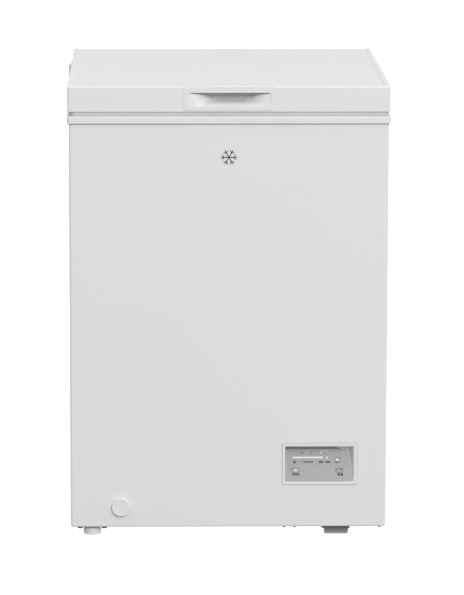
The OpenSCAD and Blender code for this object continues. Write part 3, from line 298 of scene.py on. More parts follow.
class Shape:
    """Collects vertices in millimetres and faces, then becomes one piece."""

    def __init__(self):
        self.v, self.f = [], []

    def add(self, verts, faces):
        base = len(self.v)
        self.v += verts
        self.f += [[i + base for i in face] for face in faces]
        return self

    def loft(self, rings, closed=True, caps=(False, False), loop=False):
        """Skin over rings of equal length. closed: each ring is a loop; loop: the last meets the first."""
        n = len(rings[0])
        faces = []
        steps = len(rings) if loop else len(rings) - 1
        for k in range(steps):
            a, b = k * n, (k + 1) % len(rings) * n
            for i in range(n if closed else n - 1):
                j = (i + 1) % n
                faces.append([a + i, a + j, b + j, b + i])
        if caps[0]:
            faces.append(list(range(n))[::-1])
        if caps[1]:
            faces.append([(len(rings) - 1) * n + i for i in range(n)])
        return self.add([tuple(p) for ring in rings for p in ring], faces)

    def lathe(self, profile, origin, axis="z", segs=48, ripple=None):
        """Turned shape. Points with no radius close it; ripple(step, radius) changes the radius."""
        rings = []
        for r, h in profile:
            ring = []
            for i in range(segs):
                a = 2 * pi * i / segs
                q = r if ripple is None else ripple(i, r)
                p = {"z": (q * cos(a), q * sin(a), h), "y": (q * cos(a), h, -q * sin(a)),
                     "x": (h, q * cos(a), q * sin(a))}[axis]
                ring.append(tuple(o + c for o, c in zip(origin, p)))
            rings.append(ring)
        return self.loft(rings, caps=(profile[0][0] > 0, profile[-1][0] > 0))

    def tube(self, path, r, sides=10, closed=False):
        """Round bar along a path, with its section carried along without twist."""
        pts = [Vector(p) for p in path]
        n = len(pts)
        tangents = []
        for i in range(n):
            a = pts[(i - 1) % n] if closed or i else pts[0]
            b = pts[(i + 1) % n] if closed or i < n - 1 else pts[-1]
            tangents.append((b - a).normalized())
        t = tangents[0]
        u = t.orthogonal().normalized()
        rings = []
        for i in range(n):
            if i:
                u = tangents[i - 1].rotation_difference(tangents[i]) @ u
                u = (u - tangents[i] * u.dot(tangents[i])).normalized()
            w = tangents[i].cross(u)
            rings.append([tuple(pts[i] + r * (cos(2 * pi * j / sides) * u + sin(2 * pi * j / sides) * w))
                          for j in range(sides)])
        if not closed:
            reach, narrow = 0.45, 0.75  # the rounded ends, against the radius
            for end, sign in ((0, -1), (n - 1, 1)):
                tip = pts[end] + tangents[end] * sign * r * reach
                ring = [tuple(tip + (Vector(p) - pts[end]) * narrow) for p in rings[0 if end == 0 else -1]]
                rings = [ring] + rings if end == 0 else rings + [ring]
            return self.loft(rings, caps=(True, True))
        return self.loft(rings, loop=True)

    def prism(self, outline, lo, hi, place):
        """Flat outline given thickness: place(x, y, h) puts a point where it belongs."""
        rings = [[place(x, y, h) for x, y in outline] for h in (lo, hi)]
        return self.loft(rings, caps=(True, True))

    def mesh(self, name, clean):
        """What was collected, as a mesh in metres with its faces turned outwards."""
        made = bpy.data.meshes.new(name)
        made.from_pydata([(x / 1000, y / 1000, z / 1000) for x, y, z in self.v], [], self.f)
        bm = bmesh.new()
        bm.from_mesh(made)
        if clean:
            bmesh.ops.remove_doubles(bm, verts=bm.verts, dist=MERGE_M)
            bmesh.ops.dissolve_degenerate(bm, dist=SLIVER_M, edges=bm.edges)
        bmesh.ops.recalc_face_normals(bm, faces=bm.faces)
        bm.to_mesh(made)
        bm.free()
        return made

    def build(self, name, body, slot, *nodes, bevel=0.0, sharp=32.0, solid=0.0, finish=None, cutters=()):
        """Makes the piece. nodes: the CAD nodes it replaces; solid: thickness inwards, for a sheet."""
        obj = linked(name, self.mesh(name, True))
        if solid:
            mod = obj.modifiers.new("thickness", "SOLIDIFY")
            mod.thickness = solid / 1000
            mod.offset = -1
        for cutter in cutters:
            cut(obj, cutter)
        finish_piece(obj, body, finish or slot, slot, nodes, bevel, 2, sharp)


def bake_modifiers(obj):
    """Turns a piece's modifiers into plain mesh."""
    depsgraph = bpy.context.evaluated_depsgraph_get()
    mesh = bpy.data.meshes.new_from_object(obj.evaluated_get(depsgraph))
    obj.modifiers.clear()
    obj.data = mesh


def cut(obj, shape):
    """Takes a closed shape away from a piece."""
    tool = linked("cutter", shape.mesh("cutter", False))
    mod = obj.modifiers.new("opening", "BOOLEAN")
    mod.operation = "DIFFERENCE"
    mod.solver = "EXACT"
    mod.object = tool
    bake_modifiers(obj)
    bpy.data.objects.remove(tool)


def finish_piece(obj, body, look, slot, nodes, bevel, segments, sharp):
    """Gives a piece its material, shading, rounded edges and body."""
    obj.data.materials.clear()
    obj.data.materials.append(MATS[look])
    for polygon in obj.data.polygons:
        polygon.use_smooth = True
        polygon.material_index = 0
    obj.data.set_sharp_from_angle(angle=math.radians(sharp))
    if bevel:
        mod = obj.modifiers.new("rounded edges", "BEVEL")
        mod.width = bevel / 1000
        mod.segments = segments
        mod.limit_method = "ANGLE"
        mod.angle_limit = math.radians(sharp)
        mod.miter_outer = "MITER_ARC"
    mod = obj.modifiers.new("even shading", "WEIGHTED_NORMAL")
    mod.keep_sharp = not bevel
    if nodes:
        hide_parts(*nodes)
    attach(obj, body)


def cad_copy(name):
    """CAD mesh as a clean working mesh: merged corners and whole flat faces."""
    bm = bmesh.new()
    bm.from_mesh(NODES[name].data)
    bmesh.ops.remove_doubles(bm, verts=bm.verts, dist=CAD_MERGE_M)
    bmesh.ops.dissolve_limit(bm, angle_limit=math.radians(FLAT_DEG), verts=bm.verts, edges=bm.edges,
                             use_dissolve_boundaries=False)
    bmesh.ops.recalc_face_normals(bm, faces=bm.faces)
    return bm


def refined(name, bevel, segments=2, soften=()):
    """A CAD part's shape with its edges rounded. soften: (test of an edge's middle, radius, segments)."""
    bm = cad_copy(name)
    for test, radius, steps in soften:
        edges = [e for e in bm.edges if len(e.link_faces) == 2
                 and e.calc_face_angle(0) > math.radians(EDGE_DEG)
                 and test((e.verts[0].co + e.verts[1].co) / 2 * 1000)]
        bmesh.ops.bevel(bm, geom=edges, offset=radius / 1000, segments=steps, profile=0.5,
                        affect="EDGES", clamp_overlap=False, offset_type="OFFSET")
    mesh = bpy.data.meshes.new(name + "_refined")
    bm.to_mesh(mesh)
    bm.free()
    obj = linked(name + "_refined", mesh)
    slot = SLOT_OF[name]
    finish_piece(obj, BODY_OF[name], slot, slot, (name,), bevel, segments, 32.0)


def box_shape(lo, hi):
    """Plain block between two corners."""
    ring = [(lo[0], lo[1]), (hi[0], lo[1]), (hi[0], hi[1]), (lo[0], hi[1])]
    return Shape().loft([flat(ring, lo[2]), flat(ring, hi[2])], caps=(True, True))


# ---------- cabinet ----------

def outer_shell():
    """Steel wrap: front and sides in one sheet, folded in at its lower edge."""
    x0, x1, back = -HALF, HALF, SHELL[1][1]
    z0, z1 = SHELL[0][2], SHELL[1][2]
    fold, corner, curl = 3.2, 5, 1.2
    rows = [(14.0, z0)] + [(fold + x, z0 + fold + y) for x, y in arc(0, 0, fold, 270, 180, 6)]
    lip = z1 - 1.3
    rows += [(0, z0 + 60), (0, z0 + 250), (0, z0 + 500), (0, lip - curl)]
    rows += [(curl + x, lip - curl + y) for x, y in arc(0, 0, curl, 180, 90, 4)][1:] + [(4.9, lip)]
    rings = [flat(u_path(x0 + d, x1 - d, BODY_FRONT + d, back, corner - d), z) for d, z in rows]
    gap, over, hole_r, before, behind = 0.4, 0.8, 10, 5, 6
    ring = rrect(HOUSING[0][0] - gap, HOUSING[1][0] + gap, HOUSING[0][2] - gap, HOUSING[1][2] + over, 4.5)
    panel = Shape().loft([upright(ring, BODY_FRONT - before), upright(ring, BODY_FRONT + behind)],
                         caps=(True, True))
    cap = mm("drain_cap")
    hole = Shape().lathe([(hole_r, -before), (hole_r, behind)],
                         ((cap[0][0] + cap[1][0]) / 2, BODY_FRONT, (cap[0][2] + cap[1][2]) / 2), "y")
    Shape().loft(rings, closed=False).build("cabinet_skin", "cabinet", "white_paint", "outer_shell",
                                            solid=SHEET, cutters=(panel, hole))


def top_frame():
    """Plastic frame: outer band with a shadow groove, wide landing, ledge and inner skirt."""
    half, y0, y1, z1 = FRAME[1][0], FRAME[0][1], FRAME[1][1], FRAME[1][2]
    z0 = z1 - 14.0
    corner, ledge, ledge_r, step = 7, 13.8, 37, 16.5
    ledge_half, ledge_y0, ledge_y1 = LINER[1][0] + ledge, LINER[0][1] - ledge, LINER[1][1] + ledge
    # dark grey strip seen through the gap under the frame's band: painted shade of that gap
    gap_shade_rings = [plan_ring(half - d, y0 + d, y1 - d, corner - d, z)
            for d, z in [(4.75, z0 - 2.8), (4.3, z0 - 2.7), (4.15, z0 - 2.2), (4.15, z0 + 0.3)]]
    Shape().loft(gap_shade_rings).build("rim_gap_shade", "cabinet", "white_plastic", finish="gap_shade_grey", solid=0.3)
    low_r, top_r = 0.9, 2.6
    band = [(4.85, z0 - 3.0), (4.85, z0 + 0.5), (4.0, z0 + 0.4), (2.2, z0)]
    band += [(low_r + x, z0 + low_r + y) for x, y in arc(0, 0, low_r, 270, 180, 4)]
    band += [(0, z0 + 3.0), (0.45, z0 + 3.5), (0.45, z0 + 3.9), (0, z0 + 4.4), (0, z1 - top_r)]
    band += [(top_r + x, z1 - top_r + y) for x, y in arc(0, 0, top_r, 180, 90, 6)]
    band += [(9.0, z1), (9.8, z1 - 0.7), (10.6, z1 - 0.7), (11.4, z1), (22.0, z1)]
    rings = [plan_ring(half - d, y0 + d, y1 - d, corner - d, z) for d, z in band]
    low = z1 - step
    inner = [(1.6, z1), (0.5, z1 - 0.5), (0, z1 - 1.6), (0, low + 3), (-0.9, low + 0.9), (-3, low),
             (-15.4, low), (-16.6, low - 0.5), (-17.2, low - 2), (-17.2, low - 18), (-16.4, low - 18.4)]
    rings += [plan_ring(ledge_half + grow, ledge_y0 - grow, ledge_y1 + grow, ledge_r + grow, z)
              for grow, z in inner]
    Shape().loft(rings).build("rim_frame", "cabinet", "white_plastic", "top_frame", solid=1.0)


def control_panel():
    """Bezel with a recess, the marks printed on the sloping fascia with pale arcs painted on as highlights, a
    dark band painted as shade at the top of the recess, and the two keys.
    """
    lo, hi = HOUSING
    face, x0, x1, z0, z1 = lo[1], lo[0], hi[0], lo[2], hi[2]
    left, right, rail = 5.5, 7.1, 5.9  # widths of the bezel's sides and of its upper and lower rails
    corner, edge_r, depth = 4, 1.1, 24
    rx0, rx1, rz0, rz1 = x0 + left, x1 - right, z0 + rail, z1 - rail
    back = face + depth
    rings = [upright(rrect(x0, x1, z0, z1, corner), BODY_FRONT + 3.4)]
    rings += [upright(rrect(x0 + d, x1 - d, z0 + d, z1 - d, corner - d), face + edge_r - h)
              for d, h in [(edge_r - a, b) for a, b in arc(0, 0, edge_r, 0, 90, 4)]]
    rings += [upright(rrect(rx0 - d, rx1 + d, rz0 - d, rz1 + d, 1.2 + d), face + y)
              for d, y in [(2.2, 0), (1.9, 0.35), (1.5, 0.35), (0.7, 0.35), (0.2, 0.55), (0, 1.05)]]
    rings.append(upright(rrect(rx0, rx1 - 0.6, rz0, rz1, 1.0), face + 2.9))
    rings.append(upright(rrect(rx0, rx1 - 8.6, rz1 - 10.4, rz1, 1.0), back - 0.8))
    rings.append(upright(rrect(rx0 + 0.8, rx1 - 9.6, rz1 - 9.6, rz1 - 0.8, 0.8), back))
    Shape().loft(rings, caps=(False, True)).build("panel_bezel", "cabinet", "white_plastic",
                                                  "control_housing", sharp=40)
    origin_y, origin_z = face + 1.5, rz0 + 0.4
    slope_back, slope_up = 21.5, 56.8
    tilt = math.atan2(slope_back, slope_up)
    print_low, print_high = 0.02, 0.16

    def on_fascia(x, v, w):
        """A place on the fascia: across, up the slope, and out of it."""
        return (x, origin_y + v * sin(tilt) - w * cos(tilt), origin_z + v * cos(tilt) + w * sin(tilt))

    def marks(name, look, shapes):
        """Thin flat shapes on the fascia as one piece, for print and for painted highlights."""
        shape = Shape()
        for outline in shapes:
            shape.prism(outline, print_low, print_high, on_fascia)
        shape.build(name, "cabinet", "lens", finish=look)

    def dash(x, v, w, h):
        """Outline of a small bar with rounded ends."""
        return rrect(x - w / 2, x + w / 2, v - h / 2, v + h / 2, h * 0.3, 2)

    def ticks(x, v, w, h, n):
        """A row of n small bars in a space w wide: a label with nothing to read."""
        step = w / n
        return [dash(x - w / 2 + step * (i + 0.5), v, step * 0.8, h) for i in range(n)]

    marks("fascia_dark_marks", "print_dark",
          ticks(176.9, 37.4, 8.4, 4.4, 2) + ticks(190, 37.4, 10.6, 4.4, 3)
          + ticks(141, 54.6, 4.6, 2.2, 1) + ticks(158, 54.8, 3.4, 1.6, 1)
          + ticks(128.4, 13.6, 14.6, 4.4, 5) + ticks(213.0, 13.2, 11.8, 5.0, 2))
    marks("fascia_olive_marks", "print_olive",
          ticks(126.2, 37.2, 5.4, 5.6, 1) + ticks(152.0, 37.2, 18.6, 3.6, 6))
    # pale arcs near the top of the fascia: painted highlights, not print
    marks("fascia_painted_highlights", "print_and_highlight_white",
          [[(174.8, 52.6), (176.6, 52.6), (177.6, 56.4), (180.6, 58.2), (190.4, 59.0), (190.4, 60.0),
            (179.6, 59.4), (175.8, 57.2)],
           [(214.8, 56.2), (218.2, 56.0), (221.0, 57.4), (226.8, 57.8), (226.8, 59.0), (220.4, 58.4),
            (217.4, 57.4)]])
    marks("fascia_green_marks", "print_green",
          ticks(208.2, 36.6, 9.4, 3.4, 2) + [dash(208.2, 45.6, 9.0, 1.0), dash(203.1, 41.6, 0.5, 5.4),
                                             dash(212.8, 41.6, 0.5, 5.4)])
    # dark grey band at the top of the recess, narrowing at its right end: painted shade cast by the recess's
    # top edge
    low, high = rz1 - 10.3, rz1 - 0.7
    shade_band = Shape()
    shade_band.prism([(rx0 + 0.5, low), (rx1 - 22.3, low), (rx1 - 42.2, high), (rx0 + 0.5, high)],
                back - 0.9, back - 0.2, lambda x, z, h: (x, h, z))
    shade_band.build("recess_shade_band", "cabinet", "fascia_grey", finish="recess_shade_grey", bevel=0.1)
    key_w, key_h, key_v = 7.5, 4.5, 21  # half width, half height and place up the slope
    set_x, fast_x = 127.5, 211.0
    hill = [(-4.6, 19.4), (4.6, 19.4), (3.4, 20.6), (2.2, 23.2), (0.9, 24.3), (-0.5, 24.4), (-1.9, 22.8),
            (-3.2, 20.6)]
    stroke = [(-0.6, 24.2), (0, 22.9), (5.4, 21.2), (6.0, 22.6)]
    for name, x, look, icons in (
            ("set_button", set_x, "print_and_highlight_white", [(hill, 0.70, 0.83)]),
            ("fast_freeze_button", fast_x, "print_dark",
             [(dash(-4.4, 22.8, 2.8, 1.4), 0.66, 0.80), (stroke, 0.60, 0.84)])):
        rings = [[on_fascia(px, pv, w) for px, pv in
                  rrect(x - key_w + d, x + key_w - d, key_v - key_h + d, key_v + key_h - d,
                        max(2 - d * 0.5, 0.3), 6)]
                 for d, w in [(-0.24, -1.4), (-0.24, -0.1), (0.0, 0.06), (1.0, 0.4), (2.0, 0.7), (2.6, 0.78),
                              (3.2, 0.74), (3.8, 0.7)]]
        Shape().loft(rings, caps=(True, True)).build(name + "_key", name, "fascia_grey", name, sharp=50)
        icon = Shape()
        for outline, bottom, top in icons:
            icon.prism([(x + a, v) for a, v in outline], bottom, top, on_fascia)
        icon.build(name + "_icon", name, "lens", finish=look)
    refined("control_fascia", 0.25)
    refined("indicator_windows", 0.3)


def drain_parts():
    """Outer cap with a dished face, and the well's plug with a grip and sealing ribs."""
    lo, hi = mm("drain_cap")
    x, z, front = (lo[0] + hi[0]) / 2, (lo[2] + hi[2]) / 2, lo[1]
    r, round_r = (hi[0] - lo[0]) / 2, 2.4
    profile = [(0, front + 0.5), (r - 6.2, front + 0.5), (r - 5.2, front + 0.42), (r - 4.4, front + 0.1),
               (r - 3.4, front)]
    profile += [(r - round_r + a, front + round_r - b) for a, b in arc(0, 0, round_r, 90, 0, 7)]
    profile += [(r, BODY_FRONT - 1.0), (r - 0.5, BODY_FRONT - 0.3), (7.4, BODY_FRONT - 0.25),
                (6.7, BODY_FRONT + 0.4), (6.7, BODY_FRONT + 9), (7.0, BODY_FRONT + 9.6),
                (6.4, BODY_FRONT + 12.5), (5.4, BODY_FRONT + 13.8), (0, BODY_FRONT + 13.8)]
    Shape().lathe(profile, (x, 0, z), "y", 64).build("drain_cap_moulding", "drain_cap", "white_plastic",
                                                     "drain_cap", sharp=50)
    lo, hi = mm("drain_plug")
    x, y, top = (lo[0] + hi[0]) / 2, (lo[1] + hi[1]) / 2, hi[2]
    seat, rib = top - 11.5, 3.4
    profile = [(0, top)] + [(5.6 + a, top - 1.3 + b) for a, b in arc(0, 0, 1.3, 90, 0, 4)]
    profile += [(6.6, top - 2.2), (4.2, top - 3.6), (3.9, top - 5), (4.4, top - 8.2), (6, seat + 3.2),
                (13.6, seat + 2.9), (14.8, seat + 2.0), (15, seat + 0.9), (14.2, seat + 0.3),
                (7.2, seat + 0.3)]
    for k in range(4):
        profile += [(6.6, seat - 1 - rib * k), (6.05, seat - 2.4 - rib * k), (6.05, seat - 3.4 - rib * k)]
    profile += [(5.2, lo[2]), (0, lo[2])]
    Shape().lathe(profile, (x, y, 0), "z", 48).build("drain_plug_moulding", "drain_plug",
                                                     SLOT_OF["drain_plug"], "drain_plug", sharp=50)


def feet():
    """Screwed levelling feet with a milled edge on the left, plain blocks with studs on the right."""
    pitch, turns, groove = 1.5, 11, 0.35
    for name in ("foot_front_left", "foot_rear_left"):
        lo, hi = mm(name)
        x, y = (lo[0] + hi[0]) / 2, (lo[1] + hi[1]) / 2
        r, pad = (hi[0] - lo[0]) / 2, 14.5
        profile = [(0, 0.4), (r - 6.5, 0.4), (r - 5.2, 0.0), (r - 1.6, 0.0), (r - 0.6, 0.4), (r - 0.1, 1.3),
                   (r, 2.6), (r, pad - 1.6), (r - 0.4, pad - 0.6), (r - 1.4, pad - 0.1), (5.2, pad),
                   (4.0, pad + 0.4)]
        for k in range(turns):
            z = pad + pitch * k
            profile += [(4.0, z + 0.9), (3.55, z + 1.6), (4.0, z + 2.3)]
        profile += [(0, hi[2])]
        milled = Shape().lathe(profile, (x, y, 0), "z", 72,
                               lambda i, q: q - (groove if q > r - 0.2 and i % 4 == 0 else 0))
        milled.build(name + "_moulding", BODY_OF[name], "light_rubber", name, sharp=50)
    lo, hi = mm("right_feet")
    x, half = (lo[0] + hi[0]) / 2, (hi[0] - lo[0]) / 2
    length, stud_y = 36, 10
    shape = Shape()
    for y0, y1 in ((lo[1], lo[1] + length), (hi[1] - length, hi[1])):
        rings = []
        for inset, z in [(4.0, 0.5), (3.4, 0.0), (2.7, 0.05), (2.3, 0.7), (2.2, 1.8), (1.8, 5.0), (1.5, 5.3),
                         (1.5, 6.0), (1.1, 8.4), (0.1, 13.4), (0.0, 14.2), (0.6, 14.9)]:
            d = inset * 0.35
            rings.append(flat(rrect(x - half + inset, x + half - inset, y0 + d, y1 - d, 3.0, 6), z))
        shape.loft(rings, caps=(True, True))
        shape.lathe([(4, 14.0), (4, hi[2] - 0.5), (3.5, hi[2]), (0, hi[2])], (x, y0 + stud_y, 0), "z", 32)
    shape.build("right_feet_moulding", "cabinet", SLOT_OF["right_feet"], "right_feet", finish="foot_grey",
                sharp=50)


def inner_liner():
    """Well's liner with its floor's edges rounded, all but the drain hole's."""
    wall, near, step_x = 1.2, 0.3, 37
    drain_x, drain_y, drain_r = -204, -235.5, 14
    x1, y0, y1, z0 = LINER[1][0] - wall, LINER[0][1] + wall, LINER[1][1] - wall, LINER[0][2] + wall

    def floor_edge(p):
        inside = abs(p.x) < x1 + near and y0 - near < p.y < y1 + near
        drain = math.hypot(p.x - drain_x, p.y - drain_y) <= drain_r
        return inside and abs(p.z - z0) < near and p.x < step_x and not drain

    refined("inner_liner", 0.3, soften=((floor_edge, 9.0, 4),))


def lid():
    """Folded steel skin, moulded side caps and the insulating plug underneath."""
    fold, hem, y_end = 3.0, 1.0, LID_FRONT + 9
    rows = [(9.0, LID_Z0 + 0.4), (hem + 0.8, LID_Z0 + 0.15)]
    rows += [(hem + x, LID_Z0 + 0.1 + hem + y) for x, y in arc(0, 0, hem, 270, 180, 4)]
    rows += [(0, LID_Z0 + 6), (0, LID_Z0 + 20), (0, LID_Z0 + 34), (0, LID_TOP - fold)]
    rows += [(fold + x, LID_TOP - fold + y) for x, y in arc(0, 0, fold, 180, 90, 8)][1:] + [(8.0, LID_TOP)]
    rings = [flat(u_path(-LID_HALF + d, LID_HALF - d, LID_FRONT + d, y_end, 4.2 - d, 8), z) for d, z in rows]
    shape = Shape().loft(rings, closed=False)
    inner = LID_HALF - 2.3
    back = [(LID_BACK - fold + y, LID_TOP - fold + z) for y, z in arc(0, 0, fold, 90, 0, 8)]
    back += [(LID_BACK, LID_Z0 + 6), (LID_BACK, LID_Z0 + 1), (LID_BACK - 1, LID_Z0 + 0.3),
             (LID_BACK - 6, LID_Z0 + 0.3)]
    top = rings[-1] + [(inner, y_end, LID_TOP), (inner, back[0][0], LID_TOP),
                       (-inner, back[0][0], LID_TOP), (-inner, y_end, LID_TOP)]
    shape.add(top, [list(range(len(top)))])
    shape.loft([[(-inner, y, z), (inner, y, z)] for y, z in back], closed=False)
    hx, hz = HANDLE[1][0] - 3, HANDLE[0][2] + 3
    opening = box_shape([-hx, LID_FRONT - 5, hz], [hx, LID_FRONT + 6.0, LID_TOP + 5])
    shape.build("lid_skin", "lid", "white_paint", "lid_panel", solid=SHEET, cutters=(opening,))
    top_z, edge_r = CAP[1][2], 1.6
    for side, name in ((-1, "lid_cap_left"), (1, "lid_cap_right")):
        outer = LID_HALF
        section = [(outer, LID_Z0 + 0.1), (outer, top_z - edge_r)]
        section += [(outer - edge_r + x, top_z - edge_r + z) for x, z in arc(0, 0, edge_r, 0, 90, 5)][1:]
        section += [(outer - 8.2, top_z), (outer - 10.2, top_z - 0.5), (outer - 10.5, LID_TOP + 0.05),
                    (outer - 2.2, LID_TOP + 0.05), (outer - 2.2, LID_Z0 + 2.1), (outer - 12.4, LID_Z0 + 2.1),
                    (outer - 12.4, LID_Z0 + 0.1)]
        ends = [(y_end + 0.15, 0.5), (y_end + 0.55, 0.0), (LID_BACK - 0.6, 0.0), (LID_BACK - 0.1, 0.5)]
        rings = []
        for y, inset in ends:
            rings.append([(side * (x - (inset if x > outer - 0.2 else 0)), y,
                           z - (inset if z > top_z - 0.2 else 0)) for x, z in section])
        Shape().loft(rings, caps=(True, True)).build(name + "_moulding", "lid", "white_plastic", name,
                                                     sharp=30)
    handle()
    lid_liner()
    gasket()


def handle():
    """Moulded grip in the lid's front: a proud plate up to the lid's top, with a dished finger pocket.

    s is the height on the plate, carried on backwards over the lid's top edge.
    """
    proud, r = 1.15, 1.2
    front, zc = LID_FRONT - proud, LID_TOP + 0.05 - r
    x0, x1, z0 = HANDLE[0][0], HANDLE[1][0], HANDLE[0][2]
    cy = front + r
    s1 = zc + r * pi / 2 + LID_FRONT + 6.4 - cy

    def place(x, s, depth):
        """Follows the plate up, over its top edge and back."""
        if s <= zc:
            return (x, front + depth, s)
        a = (s - zc) / r
        if a <= pi / 2:
            return (x, cy - (r - depth) * cos(a), zc + (r - depth) * sin(a))
        return (x, cy + s - zc - r * pi / 2, zc + r - depth)

    def outline(d):
        return rrect(x0 + d, x1 - d, z0 + d, s1 - d * 0.2, 3.6 - d, 8, 24)

    px0, px1, pz0, pz1 = -76.0, 79.0, z0 + 8.0, z0 + 34.0
    low_r, high_r = 12.5, 4.5
    rings = [[place(x, s, depth) for x, s in outline(d)]
             for d, depth in [(0.1, 2.2), (0.0, 0.7), (0.15, 0.3), (0.45, 0.06), (0.9, 0.0)]]
    start = outline(0.9)

    def shrunk(d):
        return boat(px0 + d, px1 - d, pz0 + d, pz1 - d, low_r - d, high_r - d)

    edge = shrunk(-2.6)
    plate_rings = 8
    for k in range(1, plate_rings + 1):
        t = k / plate_rings
        rings.append([place(p[0] + (q[0] - p[0]) * t, p[1] + (q[1] - p[1]) * t, 0.0)
                      for p, q in zip(start, edge)])
    inset, rim_depth = 0.6, 1.0
    for d, depth in [(-2.0, -0.03), (-1.3, -0.1), (-0.7, -0.16), (-0.2, -0.14), (0.2, 0.05), (0.5, 0.4),
                     (inset, rim_depth)]:
        rings.append([place(x, s, depth) for x, s in shrunk(d)])
    rim = shrunk(inset)
    xc, half, depth1 = (px0 + px1) / 2, (px1 - px0) / 2 - inset, 25.6 + proud
    floor_back, top_back = pz0 + 8.0, pz1 - 0.8
    back_half, flare = 45.0, 27.0

    def behind(x, s, d):
        """Where a point of the rim lies on the pocket's back wall, d in from that wall's edge."""
        u = (x - xc) / half
        v = (s - pz0 - inset) / (pz1 - pz0 - 2 * inset)
        low = floor_back + (top_back - 1.2 - floor_back) * abs(u) ** 6 + d
        wide = back_half + flare * v
        return (xc + 0.8 + u * (wide - d), low + v * (top_back - d - low))

    level_part, dish = 0.72, 1.9

    def ease(x, t):
        """The pocket's ends are dished: shallow near the rim, then steep."""
        u = abs((x - xc) / half)
        return t ** (1 + dish * max(0.0, (u - level_part) / (1 - level_part)))

    wall_rings, lift = 12, 2.4
    for k in range(1, wall_rings + 1):
        t = k / wall_rings * 0.96
        rise = 1 - (1 - t) ** lift
        rings.append([place(p[0] + (q[0] - p[0]) * t, p[1] + (q[1] - p[1]) * rise,
                            rim_depth + (depth1 - rim_depth) * ease(p[0], t))
                      for p, q in zip(rim, [behind(x, s, 0) for x, s in rim])])
    for d, t in ((0.25, 0.99), (0.8, 1.0)):
        rings.append([place(q[0], q[1], rim_depth + (depth1 - rim_depth) * t)
                      for q in [behind(x, s, d) for x, s in rim]])
    Shape().loft(rings, caps=(False, True)).build("lid_grip", "lid", "handle_plastic", "lid_handle", sharp=38)
    # grey plate lining the pocket's back wall: painted shade of the deep pocket
    shade_plate = [[place(q[0], q[1], depth) for q in [behind(x, s, d) for x, s in rim]]
              for d, depth in ((0.1, depth1 - 0.05), (0.15, depth1 - 0.2), (0.3, depth1 - 0.3))]
    Shape().loft(shade_plate, caps=(False, True)).build("pocket_shade_plate", "lid", "handle_plastic", finish="pocket_shade_grey")


def lid_liner():
    """Moulded inside of the lid: a flat border, a plug into the well and a shallow panel in it."""
    lo, hi = PLUG
    half, y0, y1 = hi[0], lo[1], hi[1]
    plug_half, p0, p1 = LINER[1][0] + 3.8, LINER[0][1] - 4.3, LINER[1][1] + 4.3
    low, plate = lo[2], LID_Z0
    rings = [plan_ring(half, y0, y1, 3, plate + 1.3), plan_ring(half, y0, y1, 3, plate + 0.4),
             plan_ring(half - 0.5, y0 + 0.5, y1 - 0.5, 3, plate)]
    for d, h in [(-2.0, plate), (-0.8, plate - 0.3), (-0.2, plate - 1.2), (0.4, low + 4.5), (1.2, low + 2.0),
                 (2.6, low + 0.6), (4.6, low), (22, low), (24, low + 0.2), (26, low + 0.9), (28, low + 1.2),
                 (60, low + 1.2), (62, low + 1.1), (64, low + 0.7), (66, low + 0.5)]:
        rings.append(plan_ring(plug_half - d, p0 + d, p1 - d, max(18 - d * 0.15, 5), h))
    Shape().loft(rings, caps=(False, True)).build("lid_inner_moulding", "lid", SLOT_OF["lid_liner"],
                                                  "lid_liner", solid=SHEET)


def gasket():
    """Magnetic gasket: a flat magnet pocket under a folded bellows."""
    lo, hi = GASKET
    half, y0, y1, z0, z1 = hi[0], lo[1], hi[1], lo[2], hi[2]
    section = [(1.6, z0), (11.1, z0), (11.8, z0 + 0.5), (12, z0 + 1.4), (11.6, z0 + 2.7), (10.6, z0 + 3.2),
               (9.0, z0 + 3.3), (8.6, z0 + 4.0), (9.2, z0 + 5.0), (9.0, z0 + 6.2), (8.4, z1 - 0.5), (8.0, z1),
               (-1.6, z1), (-2.0, z1 - 0.4), (-2.0, z0 + 5.4), (-0.4, z0 + 4.6), (0.05, z0 + 3.8),
               (0.05, z0 + 1.9), (0.4, z0 + 1.3), (1.3, z0 + 1.0)]
    rings = [plan_ring(half - d, y0 + d, y1 - d, 12 - d * 0.8, z) for d, z in section]
    Shape().loft(rings, loop=True).build("door_gasket", "lid", SLOT_OF["lid_gasket"], "lid_gasket", sharp=60)


# ---------- inside and behind ----------

def bent(points, r, n=5):
    """Path through corner points, with each corner rounded to radius r."""
    out = [Vector(points[0])]
    for a, b, c in zip(points, points[1:], points[2:]):
        a, b, c = Vector(a), Vector(b), Vector(c)
        d1, d2 = (b - a).normalized(), (c - b).normalized()
        centre = b - d1 * r + d2 * r
        for i in range(n + 1):
            t = pi / 2 * i / n
            out.append(centre - d2 * r * cos(t) + d1 * r * sin(t))
    out.append(Vector(points[-1]))
    return out


